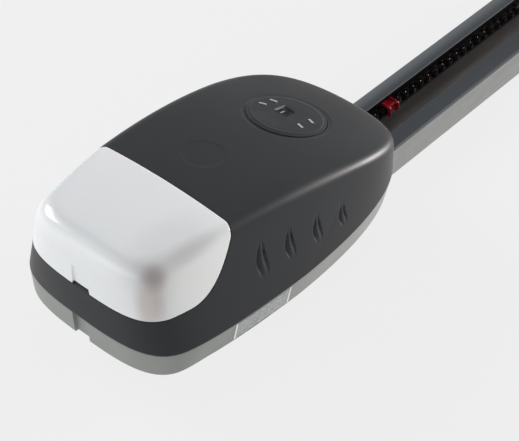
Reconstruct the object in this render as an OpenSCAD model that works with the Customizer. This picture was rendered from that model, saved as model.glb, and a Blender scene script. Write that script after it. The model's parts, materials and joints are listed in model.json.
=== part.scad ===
// Trolley garage door opener: drive head, C-section rail, chain drive, trolley and door arm.
// Millimetres. The unit lies ceiling side down: z = 0 is the rail's back, which faces the ceiling
// in use, and +Z is the side that faces the garage floor. The rail runs along +Y to the door.
// The origin is on the rail's back, on the axis of the drive sprocket.

/* [Rail] */
// Length of the rail
rail_len = 3000; // [2600:100:3400]
// Outside width of the rail
rail_w = 78; // [76:1:80]
// Outside height of the rail
rail_h = 35.5; // [35:0.5:38]
// Sheet thickness of the rail
rail_t = 1.6; // [1.2:0.1:2]
// Width of the slot between the rail's lips
slot_w = 39.2; // [38:0.2:42]

/* [Head] */
// Gap between the rail's slot face and the base tray
head_gap = 10; // [9:0.5:12]
// Height of the base tray's wall
base_h = 26; // [24:1:30]
// Crest height of the cover above the base tray's underside
crest_h = 113; // [108:1:118]
// Wall thickness of the cover and the lens
shell_t = 2.6; // [2:0.1:3]
// Radius of the round control panel
panel_r = 38.5; // [36:0.5:40]

/* [Drive] */
// Radius of the motor can
motor_r = 30; // [26:1:31]
// Radius of the output shaft
shaft_r = 8; // [7:0.5:8]

/* [Trolley] */
// Parked position of the trolley's latch along the rail
trolley_y = 1000; // [800:50:1400]
// Pin to pin length of the door arm
arm_len = 460; // [360:10:500]

/* [Hidden] */
$fn = 48;

charcoal = "#3c3e41";
base_grey = "#96988f";
steel = "#9ea3a6";
dark_steel = "#3a3a3c";
board_green = "#2f6b45";
copper = "#b06a3a";
chain_red = "#b01020";

// Places along the rail
rail_start = -70;
rail_end = rail_start + rail_len;
head_front = -205;
head_z = rail_h + head_gap;
seam_z = base_h;
idler_y = rail_end - 150;
anchor_y = rail_end - 80;
shuttle_y = 246;
clamp_ys = [-52, 90];
bracket_ys = [700, rail_end - 530];
stop_y = rail_end - 215;

// Chain and gears: half-inch chain on nine-tooth sprockets, single-start worm on a 36-tooth wheel
chain_pitch = 12.7;
sprocket_teeth = 9;
wheel_teeth = 36;
wheel_module = 1.75;
pitch_r = chain_pitch / (2 * sin(180 / sprocket_teeth));
chain_z = 20;
chain_half_h = 4;
plate_w = 9.8;
plate_t = 2.2;
wheel_pitch_r = wheel_teeth * wheel_module / 2;
worm_pitch_r = 8;
worm_x = wheel_pitch_r + worm_pitch_r;
drive_z = head_z + 34;
running = 0.06;

// Motor
motor_front = -136;
motor_back = -36;
motor_shaft_r = 4;

// Trolley and arm pivots
pivot_y = trolley_y + 88;
pivot_z = 62;
pin_r = 5;
lever_y = trolley_y + 40;
lever_z = 55;
lever_lift = 25;
latch_x = -8.5;
arm_end_y = pivot_y + arm_len;
wall_pin_y = rail_end + 24;
wall_pin_z = 18;
wall_pin_r = 4;

// Control board: its top face and its screws, in head coordinates
board_top = 13.6;
board_post_x = 56;
board_post_ys = [268, 322];
gland_place = [-74, 296];

// Screw posts that join the base tray and the cover, in head coordinates, right side
post_places = [[84, 58], [88, 262]];

// ---- Outlines of the head, right half, from the front centre to the rear centre ----
seam_curves = [
    [[0, 0], [42, 0], [78, 1], [91, 26]],
    [[91, 26], [105.5, 54], [109.5, 162], [109.5, 169]],
    [[109.5, 169], [109.5, 322], [72, 366], [0, 366]]
];
ridge_curves = [
    [[0, 5], [46, 5], [62.5, 7], [68, 30]],
    [[68, 30], [79, 85], [89, 200], [89, 262]],
    [[89, 262], [89, 334], [70, 362], [0, 362]]
];
curve_steps = 9;

function bezier(p, t) =
    pow(1 - t, 3) * p[0] + 3 * pow(1 - t, 2) * t * p[1] + 3 * (1 - t) * t * t * p[2] + pow(t, 3) * p[3];
function half_outline(curves) =
    concat([for (c = curves) for (i = [0:curve_steps - 1]) bezier(c, i / curve_steps)], [curves[2][3]]);
function full_outline(curves) =
    let (h = half_outline(curves), n = len(h))
    concat(h, [for (i = [n - 2:-1:1]) [-h[i][0], h[i][1]]]);
function inset_outline(o, d) =
    let (n = len(o))
    [for (i = [0:n - 1])
        let (t = o[(i + 1) % n] - o[(i + n - 1) % n], u = t / norm(t)) o[i] + d * [-u[1], u[0]]];
function at_z(o, z) = [for (p = o) [p[0], p[1], z]];
function smooth(a, b, x) = let (t = max(0, min(1, (x - a) / (b - a)))) t * t * (3 - 2 * t);

// Height of the cover's top surface: crowned across, falling in a curve towards the rear
crest_y = 45;
crown = 2.5;
function top_z(x, y) =
    crest_h - crown * pow(x / 88, 2) - 5.4e-4 * pow(y - crest_y, 2) - 1.2e-9 * pow(y - crest_y, 4);

// Rings of the closed shell form that lies d inside the head's outer surface
fillet_steps = 5;
function edge_radius(y, d) = 18 - 8 * smooth(15, 110, y) - d / 2;
function shell_rings(d, bottom) =
    let (
        seam = inset_outline(full_outline(seam_curves), d),
        ridge = inset_outline(full_outline(ridge_curves), d),
        n = len(seam),
        low = at_z(seam, seam_z),
        sharp = [for (p = ridge) [p[0], p[1], top_z(p[0], p[1]) - d]],
        side = [for (i = [0:n - 1])
            let (v = low[i] - sharp[i]) sharp[i] + v * edge_radius(ridge[i][1], d) / norm(v)],
        top = [for (i = [0:n - 1])
            let (
                p = ridge[i],
                v = [0, max(70, min(290, p[1]))] - p,
                q = p + v * edge_radius(p[1], d) / norm(v)
            ) [q[0], q[1], top_z(q[0], q[1]) - d]],
        mid_y = 185
    )
    concat(
        bottom < seam_z ? [at_z(seam, bottom)] : [],
        [low],
        [for (k = [0:fillet_steps])
            let (t = k / fillet_steps)
            [for (i = [0:n - 1]) pow(1 - t, 2) * side[i] + 2 * t * (1 - t) * sharp[i] + t * t * top[i]]],
        [for (u = [1 / 3, 2 / 3, 1])
            [for (p = top)
                let (x = p[0] * (1 - 0.8 * u), y = mid_y + (p[1] - mid_y) * (1 - 0.3 * u))
                [x, y, top_z(x, y) - d]]]
    );

// Solid between stacked rings of equal length, with a flat bottom and a symmetric ridge on top
module ring_solid(rings) {
    n = len(rings[0]);
    m = len(rings);
    half = n / 2;
    points = [for (r = rings) for (p = r) p];
    walls = [for (k = [0:m - 2]) for (i = [0:n - 1])
        [k * n + i, (k + 1) * n + i, (k + 1) * n + (i + 1) % n, k * n + (i + 1) % n]];
    bottom = [[for (i = [0:n - 1]) i]];
    last = (m - 1) * n;
    cap = [for (i = [0:half - 1])
        i == 0 ? [last, last + n - 1, last + 1]
        : i == half - 1 ? [last + i, last + n - i, last + half]
        : [last + i, last + n - i, last + n - i - 1, last + i + 1]];
    polyhedron(points, concat(walls, bottom, cap), convexity = 4);
}

module shell(d, bottom = seam_z) {
    ring_solid(shell_rings(d, bottom));
}

module in_head() {
    translate([0, head_front, head_z]) children();
}

// Profile drawn in X and Z, extruded from y0 to y1
module along_y(y0, y1) {
    translate([0, y1, 0]) rotate([90, 0, 0]) linear_extrude(y1 - y0) children();
}

// Profile drawn in Y and Z, extruded from x0 to x1
module along_x(x0, x1) {
    translate([x0, 0, 0]) rotate([90, 0, 90]) linear_extrude(x1 - x0) children();
}

module block(x0, x1, y0, y1, z0, z1) {
    translate([x0, y0, z0]) cube([x1 - x0, y1 - y0, z1 - z0]);
}

module both_sides() {
    children();
    mirror([1, 0, 0]) children();
}

module rod_x(x0, x1, y, z, r) {
    translate([x0, y, z]) rotate([0, 90, 0]) cylinder(h = x1 - x0, r = r);
}

module rod_y(y0, y1, x, z, r) {
    translate([x, y0, z]) rotate([-90, 0, 0]) cylinder(h = y1 - y0, r = r);
}

module rod_z(z0, z1, x, y, r) {
    translate([x, y, z0]) cylinder(h = z1 - z0, r = r);
}

module hex_z(z0, z1, x, y, across) {
    translate([x, y, z0]) cylinder(h = z1 - z0, r = across / sqrt(3), $fn = 6);
}

// ---- Head shells ----

// Side profile that parts the lens from the cover, in Y and Z
lens_low_z = 61;
lens_edge = [[48, lens_low_z], [70, 61.5], [88, 80], [102.5, 101]];
lens_steps = 8;
module lens_profile() {
    polygon(concat(
        [[-30, lens_low_z]],
        [for (i = [0:lens_steps]) bezier(lens_edge, i / lens_steps)],
        [[105.5, 107], [111, 112], [114, 130], [-30, 130]]
    ));
}

// Latch tab of the cover that stands in the lens's lower front edge
latch_tab_x = [-9, 11];
latch_tab_rise = 2.2;
module latch_tab(gap) {
    x = latch_tab_x + [-gap, gap];
    block(x[0], x[1], -5, 12, lens_low_z - 3, lens_low_z + latch_tab_rise + gap);
}

// Finger grooves down the sides, smaller towards the rear: [y, lowest z, highest z]
grooves = [[130, 48, 84], [164, 46, 75], [199, 45, 71], [232, 39, 60]];
groove_depth = 2.2;
groove_half_w = 6;
groove_tilt = [-3.5, -16, 0];
side_x = 105.6;
side_slope = 0.29;
module side_groove(g) {
    mid = (g[1] + g[2]) / 2;
    translate([side_x - side_slope * (mid - seam_z), g[0] - groove_half_w / 2, mid]) rotate(groove_tilt)
        scale([groove_depth, groove_half_w, (g[2] - g[1]) / 2]) sphere(r = 1, $fn = 20);
}

panel_x = -3.4;
panel_y = 269.4;
module panel_place() {
    tilt = -16.4;
    translate([panel_x, panel_y, top_z(panel_x, panel_y)]) rotate([tilt, 0, 0]) children();
}

module post_positions() {
    for (p = post_places)
        for (s = [-1, 1])
            translate([s * p[0], p[1], 0]) children();
}

module top_cover() {
    color(charcoal) in_head() resize([0, 0, 0]) difference() {
        union() {
            difference() {
                shell(0);
                shell(shell_t, seam_z - 1);
            }
            intersection() {
                shell(shell_t / 2);
                union() {
                    post_positions() rod_z(seam_z + 0.3, 58, 0, 0, 6, $fn = 20);
                    both_sides() for (p = post_places)
                        block(p[0], p[0] + 25, p[1] - 1.5, p[1] + 1.5, seam_z + 2, 58);
                }
            }
            intersection() {
                difference() {
                    shell(0);
                    shell(shell_t, seam_z - 1);
                }
                latch_tab(0);
            }
        }
        difference() {
            along_x(-130, 130) lens_profile();
            latch_tab(0);
        }
        panel_place() translate([0, 0, -12]) cylinder(h = 30, r = panel_r + 0.4, $fn = 72);
        post_positions() rod_z(seam_z - 1, 46, 0, 0, 2.2, $fn = 20);
        both_sides() for (g = grooves) side_groove(g);
    }
}

module light_lens() {
    color("#d8d9d8") in_head() resize([0, 0, 0]) difference() {
        intersection() {
            difference() {
                shell(0);
                shell(2.2, seam_z - 1);
            }
            along_x(-130, 130) offset(delta = -0.35) lens_profile();
        }
        latch_tab(0.4);
    }
}

// Inset of the tray's underside from the seam outline, less at the front
function tray_inset(p) = 5 - 4 * smooth(60, 0, p[1]);
function tray_ring(d, z, share) =
    let (o = full_outline(seam_curves), n = len(o))
    [for (i = [0:n - 1])
        let (
            t = o[(i + 1) % n] - o[(i + n - 1) % n],
            u = t / norm(t),
            q = o[i] + (d + tray_inset(o[i]) * share) * [-u[1], u[0]]
        ) [q[0], q[1], z]];

tray_wall = 2.5;
tray_floor = 2.5;
neck_r = 26;
tray_notch_x = [-11.5, 7];
module base_tray() {
    color(base_grey) in_head() difference() {
        union() {
            difference() {
                ring_solid([tray_ring(0, 0, 1), tray_ring(0, seam_z - 0.3, 0)]);
                ring_solid([tray_ring(tray_wall, tray_floor, 1), tray_ring(tray_wall, seam_z + 1, 0)]);
            }
            post_positions() rod_z(tray_floor - 1, seam_z - 0.3, 0, 0, 6);
            block(tray_notch_x[0] - 2.5, tray_notch_x[1] + 2.5, 1.6, 8, 0.5, seam_z - 0.3);
            board_posts() rod_z(tray_floor - 1, board_top - 1.6, 0, 0, 3.4);
        }
        block(tray_notch_x[0], tray_notch_x[1], -5, 5, -1, seam_z + 1);
        post_positions() {
            rod_z(-1, 8, 0, 0, 4.4);
            rod_z(7, seam_z + 1, 0, 0, 2.3);
        }
        translate([0, -head_front, 0]) {
            rod_z(-1, 4, 0, 0, neck_r);
            clamp_studs() rod_z(-1, 4, 0, 0, 4.5);
            gearbox_feet() rod_z(-1, 4, 0, 0, 3.3);
        }
        board_posts() rod_z(tray_floor + 2, board_top, 0, 0, 1.3);
        rod_z(-1, 4, gland_place[0], gland_place[1], 7.1);
    }
}

// ---- Fixing of the head on the rail ----

stud_x = 9;
module clamp_studs() {
    for (y = clamp_ys)
        for (x = [-stud_x, stud_x])
            translate([x, y, 0]) children();
}

module rail_profile() {
    difference() {
        translate([-rail_w / 2, 0]) square([rail_w, rail_h]);
        translate([-rail_w / 2 + rail_t, rail_t]) square([rail_w - 2 * rail_t, rail_h - 2 * rail_t]);
        translate([-slot_w / 2, rail_h / 2]) square([slot_w, rail_h]);
    }
}

bolt_z = 12;
module rail() {
    color(steel) difference() {
        along_y(rail_start, rail_end) rail_profile();
        for (y = bracket_ys) rod_x(-rail_w, rail_w, y, bolt_z, 3.2);
    }
}

module rail_saddle() {
    color("#4a4c4f") difference() {
        union() {
            block(-46, 46, -66, 112, rail_h, head_z - 2.5);
            both_sides() block(rail_w / 2 + 0.2, 46, -66, 112, 18, rail_h + 1);
        }
        rod_z(rail_h - 1, head_z, 0, 0, neck_r);
        clamp_studs() rod_z(rail_h - 1, head_z, 0, 0, 4.5);
        gearbox_feet() rod_z(rail_h - 1, head_z, 0, 0, 6.5);
    }
}

module chassis_plate() {
    color(steel) difference() {
        block(-60, 60, -118, 118, head_z - 2.5, head_z);
        rod_z(head_z - 4, head_z + 1, 0, 0, neck_r);
        clamp_studs() rod_z(head_z - 4, head_z + 1, 0, 0, 4.5);
        gearbox_feet() rod_z(head_z - 4, head_z + 1, 0, 0, 3.3);
    }
}

module saddle_clamps() {
    plate_top = rail_h - rail_t - 0.1;
    nut_z = head_z + tray_floor;
    color(steel) {
        for (y = clamp_ys) block(-34, 34, y - 11, y + 11, plate_top - 4.5, plate_top);
        clamp_studs() {
            rod_z(plate_top - 1, nut_z + 9, 0, 0, 4);
            hex_z(nut_z, nut_z + 6.5, 0, 0, 13);
        }
    }
}

// ---- Gearbox, motor and output ----

gear_floor = drive_z - 14;
gear_top = drive_z + 11;
housing_r = 39;
foot_r = 7;
module gearbox_feet() {
    for (p = [[-30, -26], [-30, 26], [46, -27], [46, 27]])
        translate([p[0], p[1], 0]) children();
}

// Flat on the housing and its lid where the motor's flange sits
module motor_side_cut() {
    block(-50, 70, -50, motor_back, head_z, gear_top + 20);
}

module gearbox_housing() {
    color("#b9bcbd") difference() {
        union() {
            rod_z(gear_floor, gear_top, 0, 0, housing_r);
            block(22, 57, -36, 36, gear_floor, drive_z + 17);
            gearbox_feet() rod_z(head_z + tray_floor, gear_floor + 6, 0, 0, foot_r);
            rod_z(gear_floor - 12, gear_floor + 1, 0, 0, 17);
        }
        motor_side_cut();
        rod_z(gear_floor + 4, gear_top + 1, 0, 0, 34.6);
        rod_z(gear_floor - 13, gear_floor + 5, 0, 0, 12);
        rod_y(-37, 37, worm_x, drive_z, 11.5);
        gearbox_feet() rod_z(head_z, gear_floor + 3, 0, 0, 3);
    }
}

module gearbox_lid() {
    color("#8f9496") difference() {
        rod_z(gear_top, gear_top + 3, 0, 0, housing_r);
        block(21.8, 60, -50, 50, gear_top - 1, gear_top + 4);
        motor_side_cut();
        rod_z(gear_top - 1, gear_top + 4, 0, 0, shaft_r + 0.5);
    }
}

module gearbox_screws() {
    color(steel) gearbox_feet() {
        rod_z(head_z - 5.5, head_z - 2.5, 0, 0, 5.5);
        rod_z(head_z - 2.5, gear_floor + 2, 0, 0, 2.9);
    }
}

module output_bearings() {
    color("#c9cccd") difference() {
        rod_z(gear_floor - 12, gear_floor - 4, 0, 0, 11.95);
        rod_z(gear_floor - 13, gear_floor - 3, 0, 0, shaft_r + running);
    }
}

module output_shaft() {
    color("#b4b8ba") {
        rod_z(chain_z - 7, gear_top + 8, 0, 0, shaft_r);
    }
}

module worm_wheel() {
    tooth_w = PI * wheel_module / 2;
    outer = wheel_pitch_r + wheel_module * 0.9;
    root = wheel_pitch_r - wheel_module * 1.2;
    color("#d9d3bd") difference() {
        rod_z(drive_z - 6, drive_z + 6, 0, 0, root);
        rod_z(drive_z - 7, drive_z + 7, 0, 0, shaft_r);
    }
    color("#d9d3bd") for (i = [0:wheel_teeth - 1])
        rotate([0, 0, i * 360 / wheel_teeth])
            translate([0, 0, drive_z - 6]) linear_extrude(12) polygon([
                [root - 0.5, -tooth_w * 0.6], [outer, -tooth_w * 0.28],
                [outer, tooth_w * 0.28], [root - 0.5, tooth_w * 0.6]
            ]);
}

// Sprocket with a hub, for a 12.7 mm chain whose rollers are 7.75 mm across
roller_r = 3.9;
module sprocket(bore_r) {
    tip_r = pitch_r + 2.4;
    difference() {
        union() {
            rod_z(chain_z - 1.5, chain_z + 1.5, 0, 0, tip_r);
            rod_z(chain_z - 5, chain_z + 5, 0, 0, pitch_r - 6);
        }
        rod_z(chain_z - 6, chain_z + 6, 0, 0, bore_r);
        for (i = [0:sprocket_teeth - 1])
            rotate([0, 0, i * 360 / sprocket_teeth]) {
                rod_z(chain_z - 2, chain_z + 2, pitch_r, 0, roller_r + 0.25);
                block(pitch_r, pitch_r + 4, -roller_r - 0.4, roller_r + 0.4, chain_z - 2, chain_z + 2);
            }
    }
}

module drive_sprocket() {
    color("#6d7072") sprocket(shaft_r);
}

module motor_can() {
    color("#55585b") difference() {
        rod_y(motor_front, motor_back, worm_x, drive_z, motor_r);
        rod_y(motor_front - 1, motor_back - 4, worm_x, drive_z, motor_r - 2);
        rod_y(motor_back - 5, motor_back + 1, worm_x, drive_z, 9);
    }
}

module motor_end_cap() {
    color("#2b2c2e") difference() {
        rod_y(motor_front - 8, motor_front, worm_x, drive_z, motor_r);
        rod_y(motor_front - 9, motor_front + 1, worm_x, drive_z, motor_shaft_r + running);
    }
}

module motor_shaft() {
    color("#c4c7c9") rod_y(motor_front - 20, 34, worm_x, drive_z, motor_shaft_r);
}

module armature() {
    color(copper) difference() {
        rod_y(motor_front + 14, motor_back - 14, worm_x, drive_z, motor_r - 6);
        rod_y(motor_front + 13, motor_back - 13, worm_x, drive_z, motor_shaft_r);
    }
}

// The worm is drawn at its root diameter
module worm() {
    color("#a9adb0") difference() {
        rod_y(-24, 24, worm_x, drive_z, worm_pitch_r - 2.3);
        rod_y(-25, 25, worm_x, drive_z, motor_shaft_r);
    }
}

module encoder_disc() {
    color("#1c1c1e") difference() {
        rod_y(motor_front - 16, motor_front - 14, worm_x, drive_z, 14);
        rod_y(motor_front - 17, motor_front - 13, worm_x, drive_z, motor_shaft_r);
    }
}

// ---- Electrical parts in the head ----

shield_z = 68;
module inner_shield() {
    color("#e4e5e3") in_head() {
        block(-62, 62, 24, 104, shield_z, shield_z + 2);
        for (p = [[-60, 26], [52, 26], [-4, 96]])
            block(p[0], p[0] + 8, p[1], p[1] + 8, tray_floor, shield_z);
    }
}

module led_board() {
    color("#f1f1ee") in_head() {
        block(-46, 46, 34, 96, shield_z + 2, shield_z + 3.6);
        for (x = [-36:18:36])
            for (y = [44, 65, 86])
                block(x - 2.5, x + 2.5, y - 2.5, y + 2.5, shield_z + 3.6, shield_z + 4.6);
    }
}

core_x = [-80, -8];
core_y = [-134, -86];
core_z = head_z + tray_floor;
module transformer_core() {
    color("#6b6e70") difference() {
        block(core_x[0], core_x[1], core_y[0], core_y[1], core_z, core_z + 60);
        for (x = [core_x[0] + 12, core_x[1] - 24])
            block(x, x + 12, core_y[0] - 1, core_y[1] + 1, core_z + 12, core_z + 48);
    }
}

module transformer_coils() {
    mid = (core_x[0] + core_x[1]) / 2;
    color("#c98b4a") difference() {
        block(mid - 23.6, mid + 23.6, core_y[0] - 10, core_y[1] + 10, core_z + 12.4, core_z + 47.6);
        block(mid - 12.4, mid + 12.4, core_y[0] - 11, core_y[1] + 11, core_z + 11, core_z + 49);
    }
    color("#c98b4a") for (y = [core_y[0] - 10, core_y[1] + 0.4])
        block(mid - 12.4, mid + 12.4, y, y + 9.6, core_z + 12.4, core_z + 47.6);
}

module board_posts() {
    for (x = [-board_post_x, board_post_x])
        for (y = board_post_ys)
            translate([x, y, 0]) children();
}

module control_board() {
    color(board_green) in_head() difference() {
        block(-62, 62, 262, 336, board_top - 1.6, board_top);
        board_posts() rod_z(board_top - 3, board_top + 1, 0, 0, 1.8);
    }
}

module board_relays() {
    color("#1f4fa0") in_head()
        for (x = [-50, -28, -6])
            block(x, x + 19, 268, 284, board_top, board_top + 15.5);
}

module board_capacitor() {
    color("#23272b") in_head() rod_z(board_top, board_top + 30, 32, 282, 11);
}

module terminal_block() {
    color("#2f8f4e") in_head() difference() {
        block(-50, 22, 318, 330, board_top, board_top + 12);
        for (i = [0:7]) rod_z(board_top + 5, board_top + 13, -45.5 + i * 9, 324, 2.4);
    }
}

module cable_gland() {
    color("#1d1e20") in_head() translate([gland_place[0], gland_place[1], 0]) difference() {
        union() {
            hex_z(-9, 0, 0, 0, 20);
            rod_z(-16, 0, 0, 0, 8);
            rod_z(-1, 10.5, 0, 0, 7);
            hex_z(tray_floor, tray_floor + 5, 0, 0, 18);
        }
        rod_z(-17, 13, 0, 0, 4);
    }
}

// ---- Control panel ----

pod_r = 35.5;
button_r = 4.2;
button_gap = 0.3;
// Places on the panel, in the panel's own plane
button_centres = [[-25.5, 11.4], [-26.9, -2.8], [20.1, 12.1], [20.5, -4.4]];
window_place = [-5.6, 5.9];
window_size = [15, 16];

module panel_disc() {
    color("#2f3134") in_head() panel_place() difference() {
        union() {
            translate([0, 0, -6]) cylinder(h = 5.4, r = panel_r, $fn = 72);
            translate([0, 0, -3]) cylinder(h = 4, r = pod_r, $fn = 72);
        }
        difference() {
            translate([0, 0, -3]) cylinder(h = 6, r = panel_r - 1.2, $fn = 72);
            translate([0, 0, -4]) cylinder(h = 8, r = pod_r, $fn = 72);
        }
        translate([0, 0, -7]) cylinder(h = 5.6, r = pod_r - 1, $fn = 72);
        for (p = button_centres)
            translate([p[0], p[1], -8]) cylinder(h = 12, r = button_r + button_gap);
        translate([window_place[0] - window_size[0] / 2, window_place[1] - window_size[1] / 2, -8])
            cube([window_size[0], window_size[1], 12]);
    }
}

module panel_button(p) {
    color("#2f3134") in_head() panel_place() translate([p[0], p[1], 0]) {
        translate([0, 0, -3.2]) cylinder(h = 4.8, r = button_r);
        translate([0, 0, -3.2]) cylinder(h = 1.5, r = button_r + 0.6);
        translate([0, 0, -6.4]) cylinder(h = 3.5, r = 1.8);
    }
}

module button_up() {
    panel_button(button_centres[0]);
}

module button_down() {
    panel_button(button_centres[1]);
}

module button_left() {
    panel_button(button_centres[2]);
}

module button_right() {
    panel_button(button_centres[3]);
}

module display_window() {
    color("#101113", 0.6) in_head() panel_place()
        translate([window_place[0] - window_size[0] / 2, window_place[1] - window_size[1] / 2, -1.4])
            cube([window_size[0], window_size[1], 1.4]);
}

module display_module() {
    color("#1a1a1c") in_head() panel_place()
        translate([window_place[0] - 6.5, window_place[1] - 9.5, -9]) cube([13, 19, 7]);
}

module panel_board() {
    color(board_green) in_head() panel_place() {
        difference() {
            translate([-1, 1, -10.6]) cylinder(h = 1.6, r = 32);
            for (x = [-1, 1]) translate([x * 18, -20, -12]) cylinder(h = 4, r = 1.6);
        }
        for (p = button_centres)
            translate([p[0] - 3, p[1] - 3, -9]) cube([6, 6, 1.4]);
    }
}

module cover_screws() {
    color(steel) in_head() post_positions() {
        rod_z(4.5, 8, 0, 0, 3.8);
        rod_z(8, 40, 0, 0, 1.9);
    }
}

// ---- Chain ----

// The rollers' band stops short of the sprockets, whose teeth take its place
sprocket_reach = 24;
module chain_strand(side) {
    low = chain_z - chain_half_h;
    high = chain_z + chain_half_h;
    translate([side * pitch_r, 0, 0]) {
        for (z = [low, high - plate_t]) block(-plate_w / 2, plate_w / 2, 0, idler_y, z, z + plate_t);
        block(-1.5, 1.5, sprocket_reach, idler_y - sprocket_reach, low, high);
    }
}

module chain_left() {
    color(dark_steel) chain_strand(-1);
}

module chain_right() {
    color(dark_steel) chain_strand(1);
}

module chain_wrap(turn) {
    for (z = [chain_z - chain_half_h, chain_z + chain_half_h - plate_t])
        rotate([0, 0, turn]) intersection() {
            difference() {
                rod_z(z, z + plate_t, 0, 0, pitch_r + plate_w / 2);
                rod_z(z - 1, z + plate_t + 1, 0, 0, pitch_r - plate_w / 2);
            }
            block(-40, 40, 0, 40, z - 1, z + plate_t + 1);
        }
}

module chain_wraps() {
    color(dark_steel) {
        chain_wrap(180);
        translate([0, idler_y, 0]) chain_wrap(0);
    }
}

// Clip on the left strand: two lugs with the trolley's catch notch between them
shuttle_len = 18;
lug_len = 5;
module chain_shuttle() {
    strand = plate_w / 2 + 0.5;
    y0 = shuttle_y - shuttle_len / 2;
    y1 = shuttle_y + shuttle_len / 2;
    color(chain_red) difference() {
        union() {
            for (y = [y0, y1 - lug_len]) block(-25.5, -10.5, y, y + lug_len, 13, 25.8);
            block(-25, -13, y0 + 2, y1 - 2, 14, 25);
        }
        block(-pitch_r - strand, -pitch_r + strand, y0 - 1, y1 + 1, chain_z - 4.4, chain_z + 4.4);
    }
}

// ---- Idler end ----

module idler_sprocket() {
    color("#6d7072") translate([0, idler_y, 0]) sprocket(pin_r + running);
}

module idler_axle() {
    color(steel) rod_z(10.5, 29.5, 0, idler_y, pin_r);
}

fork_half = 12;
module idler_fork() {
    y1 = idler_y + 56;
    color("#8b9093") difference() {
        union() {
            for (z = [12, 25.5]) block(-fork_half, fork_half, idler_y - 14, y1, z, z + 2.5);
            block(-fork_half, fork_half, y1 - 4, y1, 12, 28);
        }
        rod_z(11, 29, 0, idler_y, pin_r);
        rod_y(y1 - 5, y1 + 1, 0, chain_z, 4);
    }
}

module tension_rod() {
    color(steel) {
        rod_y(idler_y + 46, rail_end - 14, 0, chain_z, 4);
        translate([0, rail_end - 30, chain_z]) rotate([-90, 0, 0])
            cylinder(h = 6.5, r = 13 / sqrt(3), $fn = 6);
    }
}

spring_y = [anchor_y + 4, rail_end - 30.2];
module tension_spring() {
    turns = 6;
    wire = 1.6;
    pitch = (spring_y[1] - spring_y[0] - 2 * wire) / turns;
    color("#b9bcbe") for (i = [0:turns])
        translate([0, spring_y[0] + wire + i * pitch, chain_z]) rotate([90, 0, 0])
            rotate_extrude() translate([7.5, 0]) circle(r = wire, $fn = 16);
}

module tension_anchor() {
    color(steel) difference() {
        block(-rail_w / 2 + 2, rail_w / 2 - 2, anchor_y, anchor_y + 4, rail_t + 0.2, rail_h - rail_t - 0.2);
        rod_y(anchor_y - 1, anchor_y + 5, 0, chain_z, 4.6);
    }
}

module rail_end_plate() {
    color(steel) {
        difference() {
            union() {
                block(-rail_w / 2, rail_w / 2, rail_end, rail_end + 3, 0, rail_h);
                both_sides() block(20, 23, rail_end + 3, rail_end + 34, wall_pin_z - 10, wall_pin_z + 10);
            }
            rod_x(-30, 30, wall_pin_y, wall_pin_z, wall_pin_r);
        }
        rod_x(-29, 29, wall_pin_y, wall_pin_z, wall_pin_r);
    }
}

module wall_bracket() {
    plate_y = wall_pin_y + 30;
    color("#8b9093") difference() {
        union() {
            block(-50, 50, plate_y, plate_y + 3, 1, 39);
            both_sides() along_x(23.6, 26.6) union() {
                translate([wall_pin_y, wall_pin_z]) circle(r = 10);
                translate([wall_pin_y, wall_pin_z - 10]) square([32, 20]);
            }
        }
        rod_x(-30, 30, wall_pin_y, wall_pin_z, wall_pin_r + running);
        for (x = [-38, 38])
            for (z = [wall_pin_z - 8, wall_pin_z + 12])
                rod_y(plate_y - 1, plate_y + 4, x, z, 4);
    }
}

// ---- Rail hangers and stop ----

hanger_slot_x = 57;
hanger_slot_r = 3.25;
hanger_slot_len = 18;
module ceiling_brackets() {
    inner = rail_w / 2 + 0.1;
    slot_half = hanger_slot_len / 2 - hanger_slot_r;
    slot_ends = [hanger_slot_x - slot_half, hanger_slot_x + slot_half];
    color("#8b9093") for (y = bracket_ys) both_sides() difference() {
        union() {
            block(inner, inner + 2.5, y - 20, y + 20, 0, 28);
            block(inner, 72, y - 20, y + 20, 0, 2.5);
        }
        rod_x(inner - 1, inner + 4, y, bolt_z, 3.2);
        for (x = slot_ends) rod_z(-1, 4, x, y, hanger_slot_r);
        block(slot_ends[0], slot_ends[1], y - hanger_slot_r, y + hanger_slot_r, -1, 4);
    }
}

module rail_bolts() {
    outer = rail_w / 2 + 2.7;
    inner = rail_w / 2 - rail_t - 0.1;
    color(steel) for (y = bracket_ys) both_sides() {
        rod_x(inner - 8, outer + 1, y, bolt_z, 3);
        translate([outer, y, bolt_z]) rotate([0, 90, 0]) cylinder(h = 4, r = 10 / sqrt(3), $fn = 6);
        translate([inner - 5, y, bolt_z]) rotate([0, 90, 0]) cylinder(h = 5, r = 10 / sqrt(3), $fn = 6);
    }
}

module travel_stop() {
    color("#1d1e20") {
        block(-32, 32, stop_y, stop_y + 28, 27.5, rail_h - rail_t - 0.2);
        block(-17, 17, stop_y, stop_y + 28, rail_h - rail_t - 1, rail_h + 1);
        block(-30, 30, stop_y, stop_y + 28, rail_h + 0.2, rail_h + 3.5);
    }
}

// ---- Trolley, lever, latch and arm ----

module trolley_body() {
    y0 = trolley_y - 14;
    y1 = trolley_y + 102;
    color("#2a2b2d") difference() {
        union() {
            block(-35, 35, y0, y1, 26.6, rail_h - rail_t - 0.5);
            block(-17, 17, y0, y1, rail_h - rail_t - 1, 39);
            block(-30, 30, y0, y1, 37.5, 46);
            both_sides() along_x(16, 20) union() {
                translate([pivot_y, pivot_z]) circle(r = 10);
                translate([pivot_y - 10, 45]) square([20, pivot_z - 45]);
            }
            both_sides() along_x(5, 9) union() {
                translate([lever_y, lever_z]) circle(r = 6);
                translate([lever_y - 6, 45]) square([12, lever_z - 45]);
            }
        }
        block(latch_x - 4.4, latch_x + 4.4, trolley_y - 3.4, trolley_y + 3.4, 20, 50);
        rod_x(-30, 30, pivot_y, pivot_z, pin_r);
        rod_x(-30, 30, lever_y, lever_z, 2.5);
    }
}

module trolley_latch() {
    color("#c4c7c9") block(latch_x - 4, latch_x + 4, trolley_y - 3, trolley_y + 3, 26.2, 50);
}

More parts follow.
